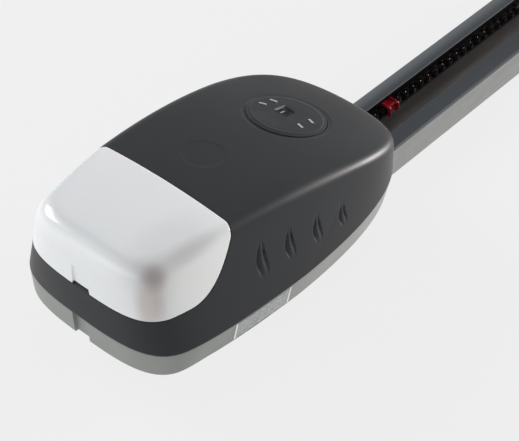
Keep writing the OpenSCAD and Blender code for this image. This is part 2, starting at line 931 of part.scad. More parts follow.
module release_lever() {
    color(chain_red) translate([0, lever_y, lever_z]) rotate([-lever_lift, 0, 0]) union() {
        rod_x(-8.9, 8.9, 0, 0, 2.44);
        rod_x(-4.6, 4.6, 0, 0, 5);
        block(-4.6, 4.6, -78, 0, -3, 3);
        translate([-9, -84, -3]) cube([18, 12, 6]);
    }
}

module arm_pivot_pin() {
    color(steel) {
        rod_x(-20, 20, pivot_y, pivot_z, pin_r);
        for (x = [-23, 20]) rod_x(x, x + 3, pivot_y, pivot_z, 8);
    }
}

arm_half_h = 13;
module door_arm() {
    color("#a7abad") difference() {
        union() {
            along_x(-3, 3) union() {
                for (y = [pivot_y, arm_end_y]) translate([y, pivot_z]) circle(r = arm_half_h);
                translate([pivot_y, pivot_z - arm_half_h]) square([arm_len, 2 * arm_half_h]);
            }
            for (y = [pivot_y, arm_end_y]) rod_x(-15.4, 15.4, y, pivot_z, 9);
        }
        rod_x(-30, 30, pivot_y, pivot_z, pin_r + running);
        rod_x(-30, 30, arm_end_y, pivot_z, pin_r);
        for (y = [pivot_y + 60:40:arm_end_y - 60]) rod_x(-5, 5, y, pivot_z, 4.2);
    }
}

module door_bracket_pin() {
    color(steel) rod_x(-23, 23, arm_end_y, pivot_z, pin_r);
}

module door_bracket() {
    plate_y = arm_end_y + 30;
    color("#8b9093") difference() {
        union() {
            block(-36, 36, plate_y, plate_y + 3, pivot_z - 21, pivot_z + 21);
            both_sides() along_x(16, 19) union() {
                translate([arm_end_y, pivot_z]) circle(r = 10);
                translate([arm_end_y, pivot_z - 10]) square([32, 20]);
            }
        }
        rod_x(-30, 30, arm_end_y, pivot_z, pin_r + running);
        for (x = [-27, 27])
            for (z = [-13, 13])
                rod_y(plate_y - 1, plate_y + 4, x, pivot_z + z, 3.25);
    }
}

rail();
rail_saddle();
chassis_plate();
saddle_clamps();
base_tray();
top_cover();
light_lens();
panel_disc();
display_window();
panel_board();
display_module();
button_up();
button_down();
button_left();
button_right();
control_board();
board_relays();
board_capacitor();
terminal_block();
inner_shield();
led_board();
transformer_core();
transformer_coils();
motor_can();
motor_end_cap();
motor_shaft();
armature();
worm();
encoder_disc();
gearbox_housing();
gearbox_lid();
gearbox_screws();
cover_screws();
output_bearings();
output_shaft();
worm_wheel();
drive_sprocket();
cable_gland();
chain_left();
chain_right();
chain_wraps();
chain_shuttle();
idler_sprocket();
idler_axle();
idler_fork();
tension_rod();
tension_spring();
tension_anchor();
rail_end_plate();
ceiling_brackets();
rail_bolts();
travel_stop();
wall_bracket();
trolley_body();
trolley_latch();
release_lever();
arm_pivot_pin();
door_arm();
door_bracket_pin();
door_bracket();
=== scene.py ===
import json
import math

import bmesh
import bpy
import numpy as np
from mathutils import Matrix, Vector


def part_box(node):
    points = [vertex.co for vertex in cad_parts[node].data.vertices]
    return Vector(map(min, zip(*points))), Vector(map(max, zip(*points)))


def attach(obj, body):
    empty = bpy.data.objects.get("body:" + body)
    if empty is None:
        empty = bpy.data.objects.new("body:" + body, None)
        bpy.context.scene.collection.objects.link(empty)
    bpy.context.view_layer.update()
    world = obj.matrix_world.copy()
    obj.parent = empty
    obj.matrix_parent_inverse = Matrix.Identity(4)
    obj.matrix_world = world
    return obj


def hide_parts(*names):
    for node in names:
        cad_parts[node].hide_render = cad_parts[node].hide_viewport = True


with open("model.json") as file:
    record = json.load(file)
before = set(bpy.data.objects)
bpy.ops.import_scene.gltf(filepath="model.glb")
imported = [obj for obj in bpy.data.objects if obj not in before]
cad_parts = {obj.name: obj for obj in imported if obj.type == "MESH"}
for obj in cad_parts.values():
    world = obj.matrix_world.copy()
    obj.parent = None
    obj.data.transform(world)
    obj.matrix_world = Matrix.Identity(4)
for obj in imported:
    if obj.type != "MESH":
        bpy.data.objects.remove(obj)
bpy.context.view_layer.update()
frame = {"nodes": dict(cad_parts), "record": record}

# A garage door opener: drive head, light lens, control panel, C rail, chain drive, trolley and arm.
# Shapes are worked out in millimetres and turned into metres when a mesh is made.
MM = 0.001


# ---- The CAD model's own places, in millimetres ----

def box_mm(node):
    low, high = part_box(node)
    return np.array(low) / MM, np.array(high) / MM


TRAY_LOW, TRAY_HIGH = box_mm("base_tray")
RAIL_LOW, RAIL_HIGH = box_mm("rail")
HEAD_Y = TRAY_LOW[1]
# Head coordinates start under the front centre, on the tray's underside
HEAD_PLACE = np.array([0.0, HEAD_Y, TRAY_LOW[2]])


def at_head(x, y, z):
    """A point in head coordinates, as metres in the shared frame."""
    return tuple((HEAD_PLACE + (x, y, z)) * MM)


# ---- Materials ----

GRAIN_SCALE = 1600


def mix_colour(a, b, share):
    return tuple(x * (1 - share) + y * share for x, y in zip(a, b))


class Finish:
    """A node material read in object coordinates, so its grain has its real size in metres."""

    def __init__(self, name, colour, roughness, metallic=0.0, **sockets):
        self.material = bpy.data.materials.new(name)
        self.material.use_nodes = True
        self.tree = self.material.node_tree
        self.shader = self.tree.nodes["Principled BSDF"]
        self.shader.inputs["Metallic"].default_value = metallic
        for socket, value in sockets.items():
            self.shader.inputs[socket.replace("_", " ")].default_value = value
        self.place = self.node("ShaderNodeTexCoord").outputs["Object"]
        base = self.node("ShaderNodeRGB")
        base.outputs[0].default_value = (*colour, 1)
        self.colour = base.outputs[0]
        self.rough = roughness
        self.height = 0.0

    def node(self, kind, **settings):
        made = self.tree.nodes.new(kind)
        for key, value in settings.items():
            setattr(made, key, value)
        return made

    def link(self, source, target):
        self.tree.links.new(source, target)

    def stretched(self, stretch=None):
        """Object coordinates; a small number in stretch draws a pattern out along that axis."""
        if stretch is None:
            return self.place
        made = self.node("ShaderNodeMapping")
        made.inputs["Scale"].default_value = stretch
        self.link(self.place, made.inputs["Vector"])
        return made.outputs["Vector"]

    def texture(self, kind, output, stretch, **sockets):
        made = self.node(kind)
        for socket, value in sockets.items():
            made.inputs[socket].default_value = value
        self.link(self.stretched(stretch), made.inputs["Vector"])
        return made.outputs[output]

    def noise(self, scale, detail, stretch=None):
        return self.texture("ShaderNodeTexNoise", "Fac", stretch, Scale=scale, Detail=detail)

    def cells(self, scale, stretch=None):
        return self.texture("ShaderNodeTexVoronoi", "Color", stretch, Scale=scale)

    def edge(self, low, high):
        """High on worn outer edges."""
        made = self.node("ShaderNodeNewGeometry")
        return self.ramp(made.outputs["Pointiness"], low, high)

    def distance(self, point, stretch):
        """Distance from a point in metres, with each axis counted stretch times."""
        made = self.node("ShaderNodeVectorMath", operation="DISTANCE")
        made.inputs[1].default_value = tuple(p * s for p, s in zip(point, stretch))
        self.link(self.stretched(stretch), made.inputs[0])
        return made.outputs["Value"]

    def axis(self, letter):
        made = self.node("ShaderNodeSeparateXYZ")
        self.link(self.place, made.inputs[0])
        return made.outputs[letter]

    def ramp(self, source, low, high, out_low=0.0, out_high=1.0):
        made = self.node("ShaderNodeMapRange", interpolation_type="SMOOTHSTEP")
        ends = {"From Min": low, "From Max": high, "To Min": out_low, "To Max": out_high}
        for socket, value in ends.items():
            made.inputs[socket].default_value = value
        self.link(source, made.inputs["Value"])
        return made.outputs["Result"]

    def math(self, kind, a, b=0):
        made = self.node("ShaderNodeMath", operation=kind)
        for k, value in enumerate((a, b)):
            if isinstance(value, (int, float)):
                made.inputs[k].default_value = value
            else:
                self.link(value, made.inputs[k])
        return made.outputs[0]

    def times(self, a, b):
        return self.math("MULTIPLY", a, b)

    def tint(self, share, colour):
        """Mixes colour in where share is high."""
        made = self.node("ShaderNodeMix", data_type="RGBA")
        self.link(share, made.inputs[0])
        self.link(self.colour, made.inputs[6])
        made.inputs[7].default_value = (*colour, 1)
        self.colour = made.outputs[2]

    def mottle(self, noise, window, share, colour):
        """Tints where a noise of that scale, detail and stretch rises through the window."""
        self.tint(self.ramp(self.noise(*noise), *window, 0, share), colour)

    def rubbed(self, window, share, colour):
        """Tints worn outer edges."""
        self.tint(self.times(self.edge(*window), share), colour)

    def patch(self, point, stretch, reach, core, share, colour):
        """Tints round a point: fully within core metres of it and no more beyond reach."""
        self.tint(self.ramp(self.distance(point, stretch), reach, core, 0, share), colour)

    def rougher(self, share, amount):
        self.rough = self.math("ADD", self.times(share, amount), self.rough)

    def uneven(self, source, amount, low=0.3):
        """Lets the roughness wander by amount either way."""
        self.rougher(self.ramp(source, low, 0.7, -1, 1), amount)

    def raised(self, share, amount):
        """Adds share times amount, in millimetres, to the bump height."""
        self.height = self.math("ADD", self.times(share, amount * MM), self.height)

    def done(self):
        bump = self.node("ShaderNodeBump")
        bump.inputs["Strength"].default_value = 1.0
        bump.inputs["Distance"].default_value = 1.0
        self.link(self.height, bump.inputs["Height"])
        self.link(self.colour, self.shader.inputs["Base Color"])
        self.link(self.rough, self.shader.inputs["Roughness"])
        self.link(bump.outputs["Normal"], self.shader.inputs["Normal"])
        return self.material


def moulded(name, colour, roughness, grain=0.012, wear=0.35, **sockets):
    """Injection moulded plastic: spark-eroded grain, faint flow marks and lighter handled edges."""
    made = Finish(name, colour, roughness, **sockets)
    made.mottle((9, 3), (0.35, 0.75), 0.35, mix_colour(colour, (0, 0, 0), 0.25))
    made.mottle((38, 4), (0.45, 0.8), 0.3, mix_colour(colour, (0.5, 0.5, 0.5), 0.06))
    worn = made.times(made.edge(0.53, 0.62), made.ramp(made.noise(210, 4), 0.4, 0.7))
    made.tint(made.times(worn, wear), mix_colour(colour, (0.6, 0.6, 0.6), 0.35))
    made.uneven(made.noise(22, 3), 0.05)
    made.rougher(made.noise(GRAIN_SCALE, 1), 0.05)
    made.raised(made.noise(GRAIN_SCALE, 2), grain)
    made.raised(made.noise(300, 2), grain * 0.8)
    return made.done()


def plated(name, colour, roughness, brushed=(1, 0.02, 1), spangle=0.0, dark=0.3, metallic=1.0):
    """Plated or brushed steel: drawn lines along one axis, spangle, dull patches, bright rubbed edges."""
    made = Finish(name, colour, roughness, metallic=metallic)
    lines = made.noise(900, 3, brushed)
    made.mottle((14, 4), (0.35, 0.75), dark, mix_colour(colour, (0.05, 0.05, 0.05), 0.35))
    made.tint(made.ramp(lines, 0.35, 0.7, 0, 0.3), mix_colour(colour, (0, 0, 0), 0.25))
    if spangle:
        made.tint(made.ramp(made.cells(170), 0.2, 0.9, 0, spangle), mix_colour(colour, (1, 1, 1), 0.3))
    made.rubbed((0.53, 0.6), 0.5, mix_colour(colour, (1, 1, 1), 0.35))
    made.uneven(lines, 0.07)
    made.uneven(made.noise(25, 3), 0.06, 0.35)
    made.raised(lines, 0.006)
    made.raised(made.noise(60, 2), 0.02)
    return made.done()


def cover_finish():
    """Dark spark-textured moulding, with a painted sheen low on its flanks and painted shade at its front and
    tail.
    """
    colour = (0.0188, 0.0213, 0.0230)
    made = Finish("cover_charcoal", colour, 0.42, IOR=1.46, Specular_IOR_Level=0.33)
    made.mottle((7, 3), (0.35, 0.7), 0.5, (0.0162, 0.0190, 0.0208))
    made.mottle((45, 4), (0.5, 0.8), 0.4, (0.0235, 0.0245, 0.0250))
    # Painted sheen: lighter and a little warmer low on the flanks
    made.tint(made.ramp(made.axis("Z"), 0.150, 0.085, 0, 0.6), (0.0225, 0.0228, 0.0250))
    # Painted shade: a darker, bluer front and a darker tail; a warmer, lighter patch at the left front corner
    made.patch(at_head(45, 0, 42), (0.7, 0.8, 1), 0.062, 0.02, 0.85, (0.0095, 0.0125, 0.0142))
    made.patch(at_head(-25, 335, 62), (0.7, 1, 1), 0.085, 0.02, 0.85, (0.0085, 0.0090, 0.0100))
    made.patch(at_head(-72, 14, 48), (1, 0.8, 1), 0.040, 0.012, 0.5, (0.036, 0.029, 0.029))
    worn = made.times(made.edge(0.54, 0.62), made.ramp(made.noise(240, 4), 0.4, 0.7))
    made.tint(made.times(worn, 0.3), (0.07, 0.07, 0.072))
    made.uneven(made.noise(18, 3), 0.03)
    made.rougher(made.noise(1500, 1), 0.05)
    made.raised(made.noise(1500, 2), 0.011)
    made.raised(made.cells(1100), 0.005)
    return made.done()


def lens_finish():
    """Opal diffuser: satin white, with painted light and shade on its flank, top and right ridge, and a
    painted dark reflection at one front corner.
    """
    colour = (0.72, 0.735, 0.745)
    made = Finish("lens_white", colour, 0.2, IOR=1.48, Subsurface_Weight=0.15, Subsurface_Scale=0.002)
    made.mottle((12, 3), (0.35, 0.75), 0.5, (0.69, 0.70, 0.705))
    # Painted light and shade: a warmer lit flank, a greyer shaded top, and on top a greyer shaded crown and
    # right ridge
    made.patch(at_head(80, 60, 80), (1.3, 0.55, 0.8), 0.040, 0.012, 0.6, (0.72, 0.72, 0.70))
    made.tint(made.ramp(made.axis("Z"), 0.149, 0.1575, 0, 0.55), (0.585, 0.592, 0.597))
    made.patch(at_head(55, 55, 112), (1, 0.6, 0.3), 0.036, 0.008, 0.5, (0.54, 0.545, 0.54))
    made.patch(at_head(71, 60, 107), (1, 0.24, 1), 0.013, 0.002, 0.6, (0.50, 0.505, 0.50))
    # Painted reflection and shade at the right front corner: a soft halo, a streak below and a dark spot
    # above
    made.patch(at_head(68, 26, 99), (1, 1, 0.6), 0.026, 0.004, 0.5, (0.52, 0.50, 0.49))
    made.patch(at_head(69.5, 16.5, 78), (1, 1, 0.36), 0.0165, 0.004, 0.75, (0.50, 0.44, 0.425))
    made.patch(at_head(68.3, 26, 101.5), (1, 1, 0.85), 0.0155, 0.002, 0.85, (0.35, 0.312, 0.302))
    made.rubbed((0.53, 0.6), 0.3, (0.85, 0.85, 0.85))
    made.uneven(made.noise(30, 3), 0.04, 0.35)
    made.raised(made.noise(700, 2), 0.003)
    made.raised(made.noise(40, 2), 0.02)
    return made.done()


def rail_finish():
    """Roll-formed galvanised steel: bright flanks, lips darkened with painted shade, a channel lightened with
    painted light, grease, and painted shade on its left side.
    """
    colour = (0.325, 0.332, 0.320)
    made = Finish("rail_steel", colour, 0.42, metallic=0.85)
    lines = made.noise(700, 3, (1, 0.006, 1))
    patches = made.noise(9, 4, (1, 0.25, 1))
    made.tint(made.ramp(patches, 0.35, 0.7, 0, 0.35), (0.262, 0.269, 0.262))
    made.tint(made.ramp(lines, 0.4, 0.7, 0, 0.3), (0.250, 0.257, 0.252))
    made.tint(made.ramp(made.cells(140, (1, 0.5, 1)), 0.3, 0.9, 0, 0.18), (0.42, 0.43, 0.42))
    top = RAIL_HIGH[2] * MM
    # The lips' top faces: darkened as painted shade, and made rougher
    lip = made.ramp(made.axis("Z"), top - 0.0026, top - 0.0014)
    made.tint(made.times(lip, 0.8), (0.135, 0.152, 0.168))
    across = made.ramp(made.math("ABSOLUTE", made.axis("X")), 0.0386, 0.0378)
    inside = made.times(across, made.ramp(made.axis("Z"), top - 0.0013, top - 0.0019))
    # Painted light: the inside of the channel lightened
    made.tint(made.times(inside, 0.6), (0.46, 0.41, 0.40))
    grease = made.times(inside, made.ramp(made.noise(30, 4, (1, 0.4, 1)), 0.25, 0.65, 0.0, 0.22))
    made.tint(grease, (0.095, 0.080, 0.076))
    # Painted shade along the channel's left side, under the left lip
    left_side_shade = made.times(inside, made.ramp(made.axis("X"), -0.0225, -0.0260, 0, 0.85))
    made.tint(left_side_shade, (0.014, 0.012, 0.011))
    # Painted shade on the lips: strongest on the right lip and the left lip's inner edge
    lip_painted_shade = made.times(lip, made.ramp(made.axis("X"), -0.036, -0.022, 0, 0.8))
    made.tint(lip_painted_shade, (0.045, 0.050, 0.056))
    made.rougher(lip, 0.22)
    made.uneven(lines, 0.06)
    made.uneven(patches, 0.05, 0.35)
    made.raised(lines, 0.01)
    made.raised(made.noise(35, 2, (1, 0.2, 1)), 0.03)
    return made.done()


def chain_finish():
    colour = (0.010, 0.008, 0.009)
    made = Finish("chain_black", colour, 0.34, metallic=0.6, Coat_Weight=0.2, Coat_Roughness=0.25)
    made.mottle((90, 4), (0.45, 0.7), 0.6, (0.035, 0.016, 0.017))
    made.rubbed((0.58, 0.75), 0.3, (0.16, 0.13, 0.13))
    made.uneven(made.noise(160, 4), 0.12, 0.35)
    made.raised(made.noise(1200, 2), 0.008)
    return made.done()


def shuttle_finish():
    """Clear red moulding that glows a little where it is thin."""
    colour = (0.30, 0.003, 0.012)
    made = Finish("shuttle_red", colour, 0.2, IOR=1.5, Subsurface_Weight=0.25, Subsurface_Scale=0.002)
    made.shader.inputs["Subsurface Radius"].default_value = (1.0, 0.1, 0.1)
    made.mottle((120, 3), (0.4, 0.7), 0.5, (0.16, 0.001, 0.006))
    made.rubbed((0.53, 0.62), 0.5, (0.58, 0.04, 0.05))
    made.uneven(made.noise(70, 3), 0.08, 0.35)
    made.raised(made.noise(500, 2), 0.01)
    return made.done()


def board_finish(name, colour, traces):
    """Circuit board: solder mask with paler copper runs showing through."""
    made = Finish(name, colour, 0.3, Coat_Weight=0.3, Coat_Roughness=0.15)
    runs = made.node("ShaderNodeTexBrick")
    runs.inputs["Scale"].default_value = 220
    runs.inputs["Mortar Size"].default_value = 0.03
    made.link(made.place, runs.inputs["Vector"])
    made.tint(made.times(runs.outputs["Fac"], 0.5), traces)
    made.mottle((60, 3), (0.4, 0.7), 0.3, mix_colour(colour, (0, 0, 0), 0.3))
    made.uneven(made.noise(80, 3), 0.06)
    made.raised(runs.outputs["Fac"], 0.03)
    return made.done()


def laminated(name, colour, layer):
    """Stacked iron sheets, seen as fine lines along one axis."""
    made = Finish(name, colour, 0.5, metallic=0.7)
    lines = made.noise(1, 2, layer)
    made.tint(made.ramp(lines, 0.4, 0.6, 0, 0.6), mix_colour(colour, (0, 0, 0), 0.5))
    made.mottle((60, 4), (0.5, 0.75), 0.5, (0.14, 0.07, 0.04))
    made.uneven(made.noise(90, 3), 0.1)
    made.raised(lines, 0.05)
    return made.done()


LABEL_Y = (84, 149)
LABEL_Z = (3.4, 24.6)


def label_finish():
    """Blank rating label: mottled silver film with a bright border at each end."""
    colour = (0.30, 0.31, 0.305)
    made = Finish("label_film", colour, 0.30, metallic=0.15)
    made.mottle((60, 3), (0.4, 0.7), 0.55, (0.27, 0.28, 0.28))
    made.mottle((420, 3, (1, 0.6, 1)), (0.50, 0.58), 0.65, (0.15, 0.16, 0.17))
    made.mottle((500, 2), (0.60, 0.68), 0.6, (0.62, 0.63, 0.63))
    for end, inwards in zip(LABEL_Y, (1, -1)):
        y = (HEAD_Y + end) * MM
        border = made.ramp(made.axis("Y"), y + inwards * 0.0017, y + inwards * 0.0012)
        made.tint(made.times(border, 0.9), (0.86, 0.87, 0.86))
    made.uneven(made.noise(50, 3), 0.08)
    made.raised(made.noise(45, 2), 0.05)
    return made.done()


def tray_finish():
    """Grey moulding with a painted shadow of a slot low on its right flank."""
    colour = (0.250, 0.261, 0.247)
    made = Finish("tray_grey", colour, 0.5, IOR=1.46, Specular_IOR_Level=0.4)
    made.mottle((9, 3), (0.35, 0.75), 0.4, (0.214, 0.225, 0.214))
    made.mottle((38, 4), (0.45, 0.8), 0.3, (0.31, 0.32, 0.30))
    made.rubbed((0.53, 0.62), 0.2, (0.42, 0.43, 0.42))
    # Painted shadow of a slot, over a shallow sunken bump
    slot = made.ramp(made.distance(at_head(104, 107, 1.9), (0.1, 0.06, 1)), 0.0016, 0.0009)
    made.tint(made.times(slot, 0.85), (0.03, 0.032, 0.034))
    made.raised(slot, -0.4)
    made.uneven(made.noise(22, 3), 0.05)
    made.raised(made.noise(GRAIN_SCALE, 2), 0.016)
    made.raised(made.noise(300, 2), 0.012)
    return made.done()


FINISHES = {
    "steel_zinc": plated("steel_zinc", (0.55, 0.56, 0.57), 0.36, spangle=0.25),
    "tray_grey": tray_finish(),
    "cover_charcoal": cover_finish(),
    "lens_white": lens_finish(),
    "panel_black": moulded("panel_black", (0.0160, 0.0174, 0.0190), 0.43, grain=0.008, IOR=1.46,
                           Specular_IOR_Level=0.33),
    "window_smoke": moulded("window_smoke", (0.003, 0.0033, 0.0036), 0.25, grain=0.002, wear=0.1,
                            Specular_IOR_Level=0.15),
    "display_black": moulded("display_black", (0.01, 0.01, 0.011), 0.3),
    "board_green": board_finish("board_green", (0.015, 0.11, 0.045), (0.05, 0.22, 0.1)),
    "relay_blue": moulded("relay_blue", (0.012, 0.06, 0.32), 0.3),
    "capacitor_sleeve": moulded("capacitor_sleeve", (0.012, 0.013, 0.016), 0.25, grain=0.004),
    "terminal_green": moulded("terminal_green", (0.03, 0.24, 0.07), 0.42),
    "shield_white": moulded("shield_white", (0.68, 0.69, 0.67), 0.45),
    "led_board_white": board_finish("led_board_white", (0.8, 0.8, 0.78), (0.62, 0.6, 0.5)),
    "core_iron": laminated("core_iron", (0.10, 0.10, 0.105), (3000, 5, 5)),
    "coil_copper": laminated("coil_copper", (0.46, 0.17, 0.06), (5, 5, 2200)),
    "motor_paint": plated("motor_paint", (0.055, 0.057, 0.06), 0.4, brushed=(0.05, 1, 0.05), metallic=0.8),
    "black_plastic": moulded("black_plastic", (0.014, 0.014, 0.0155), 0.45),
    "machined_steel": plated("machined_steel", (0.52, 0.53, 0.54), 0.24, brushed=(1, 1, 0.05)),
    "gearbox_alloy": plated("gearbox_alloy", (0.46, 0.47, 0.48), 0.5, brushed=(1, 1, 1), dark=0.5),
    "wheel_plastic": moulded("wheel_plastic", (0.66, 0.61, 0.46), 0.4),
    "chain_black": chain_finish(),
    "red_plastic": shuttle_finish(),
}
RAIL_STEEL = rail_finish()
LABEL = label_finish()
MARK_WHITE = moulded("mark_white", (0.30, 0.31, 0.31), 0.4, grain=0.004, wear=0.1)

SLOT_OF = {row["node"]: row["material_slot"] for row in frame["record"]["subparts"]}
BODY_OF = {node: body for body, nodes in frame["record"]["behaviour"]["bodies"].items() for node in nodes}


# ---- Making a piece ----

SMOOTH_ANGLE = 32
BEVEL_ANGLE = 28


def placed(name, data):
    """A new object with that data, linked to the scene."""
    made = bpy.data.objects.new(name, data)
    bpy.context.scene.collection.objects.link(made)
    return made


def mesh_object(name, verts, faces, finish, smooth_angle=SMOOTH_ANGLE):
    """verts in millimetres in the row frame."""
    mesh = bpy.data.meshes.new(name)
    mesh.from_pydata([tuple(v) for v in np.asarray(verts, float) * MM], [], [tuple(f) for f in faces])
    mesh.validate()
    mesh.materials.append(finish)
    made = placed(name, mesh)
    shade(made, smooth_angle)
    return made


def shade(piece, smooth_angle=SMOOTH_ANGLE):
    mesh = piece.data
    mesh.polygons.foreach_set("use_smooth", [True] * len(mesh.polygons))
    mesh.set_sharp_from_angle(angle=math.radians(smooth_angle))


def detail(piece, node, slot=None):
    """A piece added to the node's body, which stays shown."""
    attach(piece, BODY_OF[node])


def stand_for(piece, node):
    """The piece rides on the node's body and is shown instead of it."""
    detail(piece, node)
    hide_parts(node)


def edited(mesh, *changes):
    """Runs the changes, one after another, on the mesh opened as a bmesh."""
    work = bmesh.new()
    work.from_mesh(mesh)
    for change in changes:
        change(work)
    work.to_mesh(mesh)
    work.free()


def outward(piece):
    edited(piece.data, lambda work: bmesh.ops.recalc_face_normals(work, faces=work.faces))
    return piece


def weld(work):
    bmesh.ops.remove_doubles(work, verts=work.verts, dist=2e-6)


def make_flats_whole(work):
    bmesh.ops.dissolve_limit(work, angle_limit=math.radians(1.0), verts=work.verts, edges=work.edges)


def round_edges(width):
    """A change that rounds a mesh's sharp edges by width millimetres."""
    def change(work):
        sharp = [e for e in work.edges
                 if len(e.link_faces) == 2 and e.calc_face_angle(0) > math.radians(BEVEL_ANGLE)]
        bmesh.ops.bevel(work, geom=sharp, offset=width * MM, segments=2, profile=0.5, affect="EDGES",
                        clamp_overlap=True)
    return change


def refined(node, width):
    """The node's own shape with its flat faces made whole and its edges rounded."""
    mesh = frame["nodes"][node].data.copy()
    edited(mesh, weld, make_flats_whole)
    edited(mesh, round_edges(width))
    mesh.materials.clear()
    mesh.materials.append(FINISHES[SLOT_OF[node]])
    made = placed(node + "_fine", mesh)
    shade(made)
    stand_for(made, node)


def combine(piece, tool, operation):
    """Joins the tool to the piece or takes it out, and removes the tool."""
    modifier = piece.modifiers.new("combine", "BOOLEAN")
    modifier.operation = operation
    modifier.solver = "EXACT"
    modifier.object = tool
    bpy.context.view_layer.update()
    result = bpy.data.meshes.new_from_object(piece.evaluated_get(bpy.context.evaluated_depsgraph_get()))
    piece.modifiers.clear()
    old = piece.data
    piece.data = result
    bpy.data.meshes.remove(old)
    bpy.data.objects.remove(tool)


def cut(piece, *forms):
    """Takes closed forms (verts, faces) in millimetres out of the piece."""
    for form in forms:
        combine(piece, outward(mesh_object("cutter", *form, FINISHES["steel_zinc"])), "DIFFERENCE")
    while len(piece.data.materials) > 1:
        piece.data.materials.pop()
    shade(piece)


def form_of(piece):
    """The piece's form in millimetres; the piece itself is removed."""
    form = ([tuple(v.co / MM) for v in piece.data.vertices], [list(f.vertices) for f in piece.data.polygons])
    bpy.data.objects.remove(piece)
    return form


# ---- Forms: (verts, faces) in millimetres ----

def lathe(profile, steps):
    """Rings of (radius, height) points turned round Z; a radius of 0 closes the form with a point."""
    verts, rings, faces = [], [], []
    for r, z in profile:
        start = len(verts)
        if r == 0:
            verts.append((0, 0, z))
        else:
            verts += [(r * math.cos(a), r * math.sin(a), z) for a in np.arange(steps) * 2 * math.pi / steps]
        rings.append(list(range(start, len(verts))))
    for low, high in zip(rings, rings[1:]):
        for i in range(steps):
            j = (i + 1) % steps
            quad = [low[i % len(low)], low[j % len(low)], high[j % len(high)], high[i % len(high)]]
            face = list(dict.fromkeys(quad))
            if len(face) > 2:
                faces.append(face)
    return np.array(verts, float), faces


def rod(r, low, high, steps):
    """Upright cylinder between two heights."""
    return lathe([(0, low), (r, low), (r, high), (0, high)], steps)


def sides(rings, n):
    """Quads between neighbouring rings of n points."""
    return [[k * n + i, k * n + (i + 1) % n, (k + 1) * n + (i + 1) % n, (k + 1) * n + i]
            for k in range(rings - 1) for i in range(n)]


def capped(rings, n):
    """Those quads with a flat face at each end."""
    return [list(range(n))[::-1], *sides(rings, n), [(rings - 1) * n + i for i in range(n)]]


def joined(*forms):
    """Several (verts, faces) as one."""
    verts, faces, start = [], [], 0
    for v, f in forms:
        verts.append(np.asarray(v, float))
        faces += [[i + start for i in face] for face in f]
        start += len(v)
    return np.vstack(verts), faces


def rounded_ring(low, high, r, inwards, z, steps):
    """A rectangle's outline with corners rounded by r, drawn in by inwards, at height z."""
    ring = []
    corners = [(high[0] - r, high[1] - r), (low[0] + r, high[1] - r),
               (low[0] + r, low[1] + r), (high[0] - r, low[1] + r)]
    for k, (x, y) in enumerate(corners):
        for a in np.linspace(0, math.pi / 2, steps + 1) + k * math.pi / 2:
            ring.append((x + (r - inwards) * math.cos(a), y + (r - inwards) * math.sin(a), z))
    return ring


def rounded_box(low, high, r, steps=3):
    """Box between two corners whose upright edges and rims are rounded by r."""
    rim = [(r * (1 - math.sin(a)), r * (1 - math.cos(a))) for a in np.linspace(0, math.pi / 2, steps + 1)]
    levels = [(d, low[2] + rise) for d, rise in rim] + [(d, high[2] - rise) for d, rise in reversed(rim)]
    verts = [point for inwards, z in levels for point in rounded_ring(low, high, r, inwards, z, steps)]
    return np.array(verts), capped(len(levels), 4 * (steps + 1))


def rounded_frame(low, high, r, profile):
    """Closed frame round a rectangle; profile is a closed loop of (distance inwards, height)."""
    steps = 5
    verts = [point for inwards, z in profile for point in rounded_ring(low, high, r, inwards, z, steps)]
    faces = sides(len(profile) + 1, 4 * (steps + 1))
    return np.array(verts), [[i % len(verts) for i in face] for face in faces]


def turned(form, matrix):
    verts, faces = form
    m = np.array(matrix)
    return np.asarray(verts) @ m[:3, :3].T + m[:3, 3], faces


def moved(form, *offset):
    return np.asarray(form[0], float) + offset, form[1]


# ---- Head surface, in head coordinates ----

# Half outlines seen from above, as joined cubic curves from front centre to rear centre: the seam on
# the tray, and the ridge where flanks and top would meet if they weren't rounded
SEAM_Z = 26
SEAM = [[(0, 0), (42, 0), (78, 1), (91, 26)], [(91, 26), (105.5, 54), (109.5, 162), (109.5, 169)],
        [(109.5, 169), (109.5, 322), (72, 366), (0, 366)]]
RIDGE = [[(0, 5), (46, 5), (62.5, 7), (68, 30)], [(68, 30), (79, 85), (89, 200), (89, 262)],
         [(89, 262), (89, 334), (70, 362), (0, 362)]]
CREST_Z = 113
CREST_Y = 45
CROWN = 2.5
COVER_T = 2.6
LENS_T = 2.2
GAP = 0.35
HEAD_SMOOTH = 38
OUTLINE_STEPS = 200
RIM_R = 0.4

# Shallow round dimple on top; the skin's rings close on its centre
POLE = np.array([-5.0, 160.0])
DIMPLE_R = 19.6
DIMPLE_DEPTH = 0.3

PANEL_X = -3.4
PANEL_Y = 269.4
PANEL_TILT = math.radians(-16.4)
PANEL_HOLE_R = 38.7
LEDGE_R = 45

# Teardrop grooves down the sides: y of the rear lip, z of the tip, z of the foot, width
GROOVES = [(131.8, 84.5, 46.6, 12.3), (164.7, 78.0, 46.6, 11.5),
           (198.9, 71.2, 42.8, 11.3), (232.6, 62.5, 39.0, 10.1)]
GROOVE_DEPTH = 2.3
# Share of that depth at shares of the width, from rear to front
GROOVE_ACROSS = [0, 0.05, 0.2, 0.42, 0.55, 0.88, 1.0]
GROOVE_SHAPE = [0, 0.62, 0.5, 0.02, 0.1, 1, 0]


def bezier(points, t):
    a, b, c, d = (np.array(p, float) for p in points)
    t = t[:, None]
    return (1 - t) ** 3 * a + 3 * (1 - t) ** 2 * t * b + 3 * (1 - t) * t * t * c + t ** 3 * d


def outline(curves):
    """The whole outline from its right half."""
    t = np.linspace(0, 1, OUTLINE_STEPS, endpoint=False)
    half = np.vstack([bezier(c, t) for c in curves] + [np.array([curves[-1][3]], float)])
    return np.vstack([half, (half * [-1, 1])[-2:0:-1]])


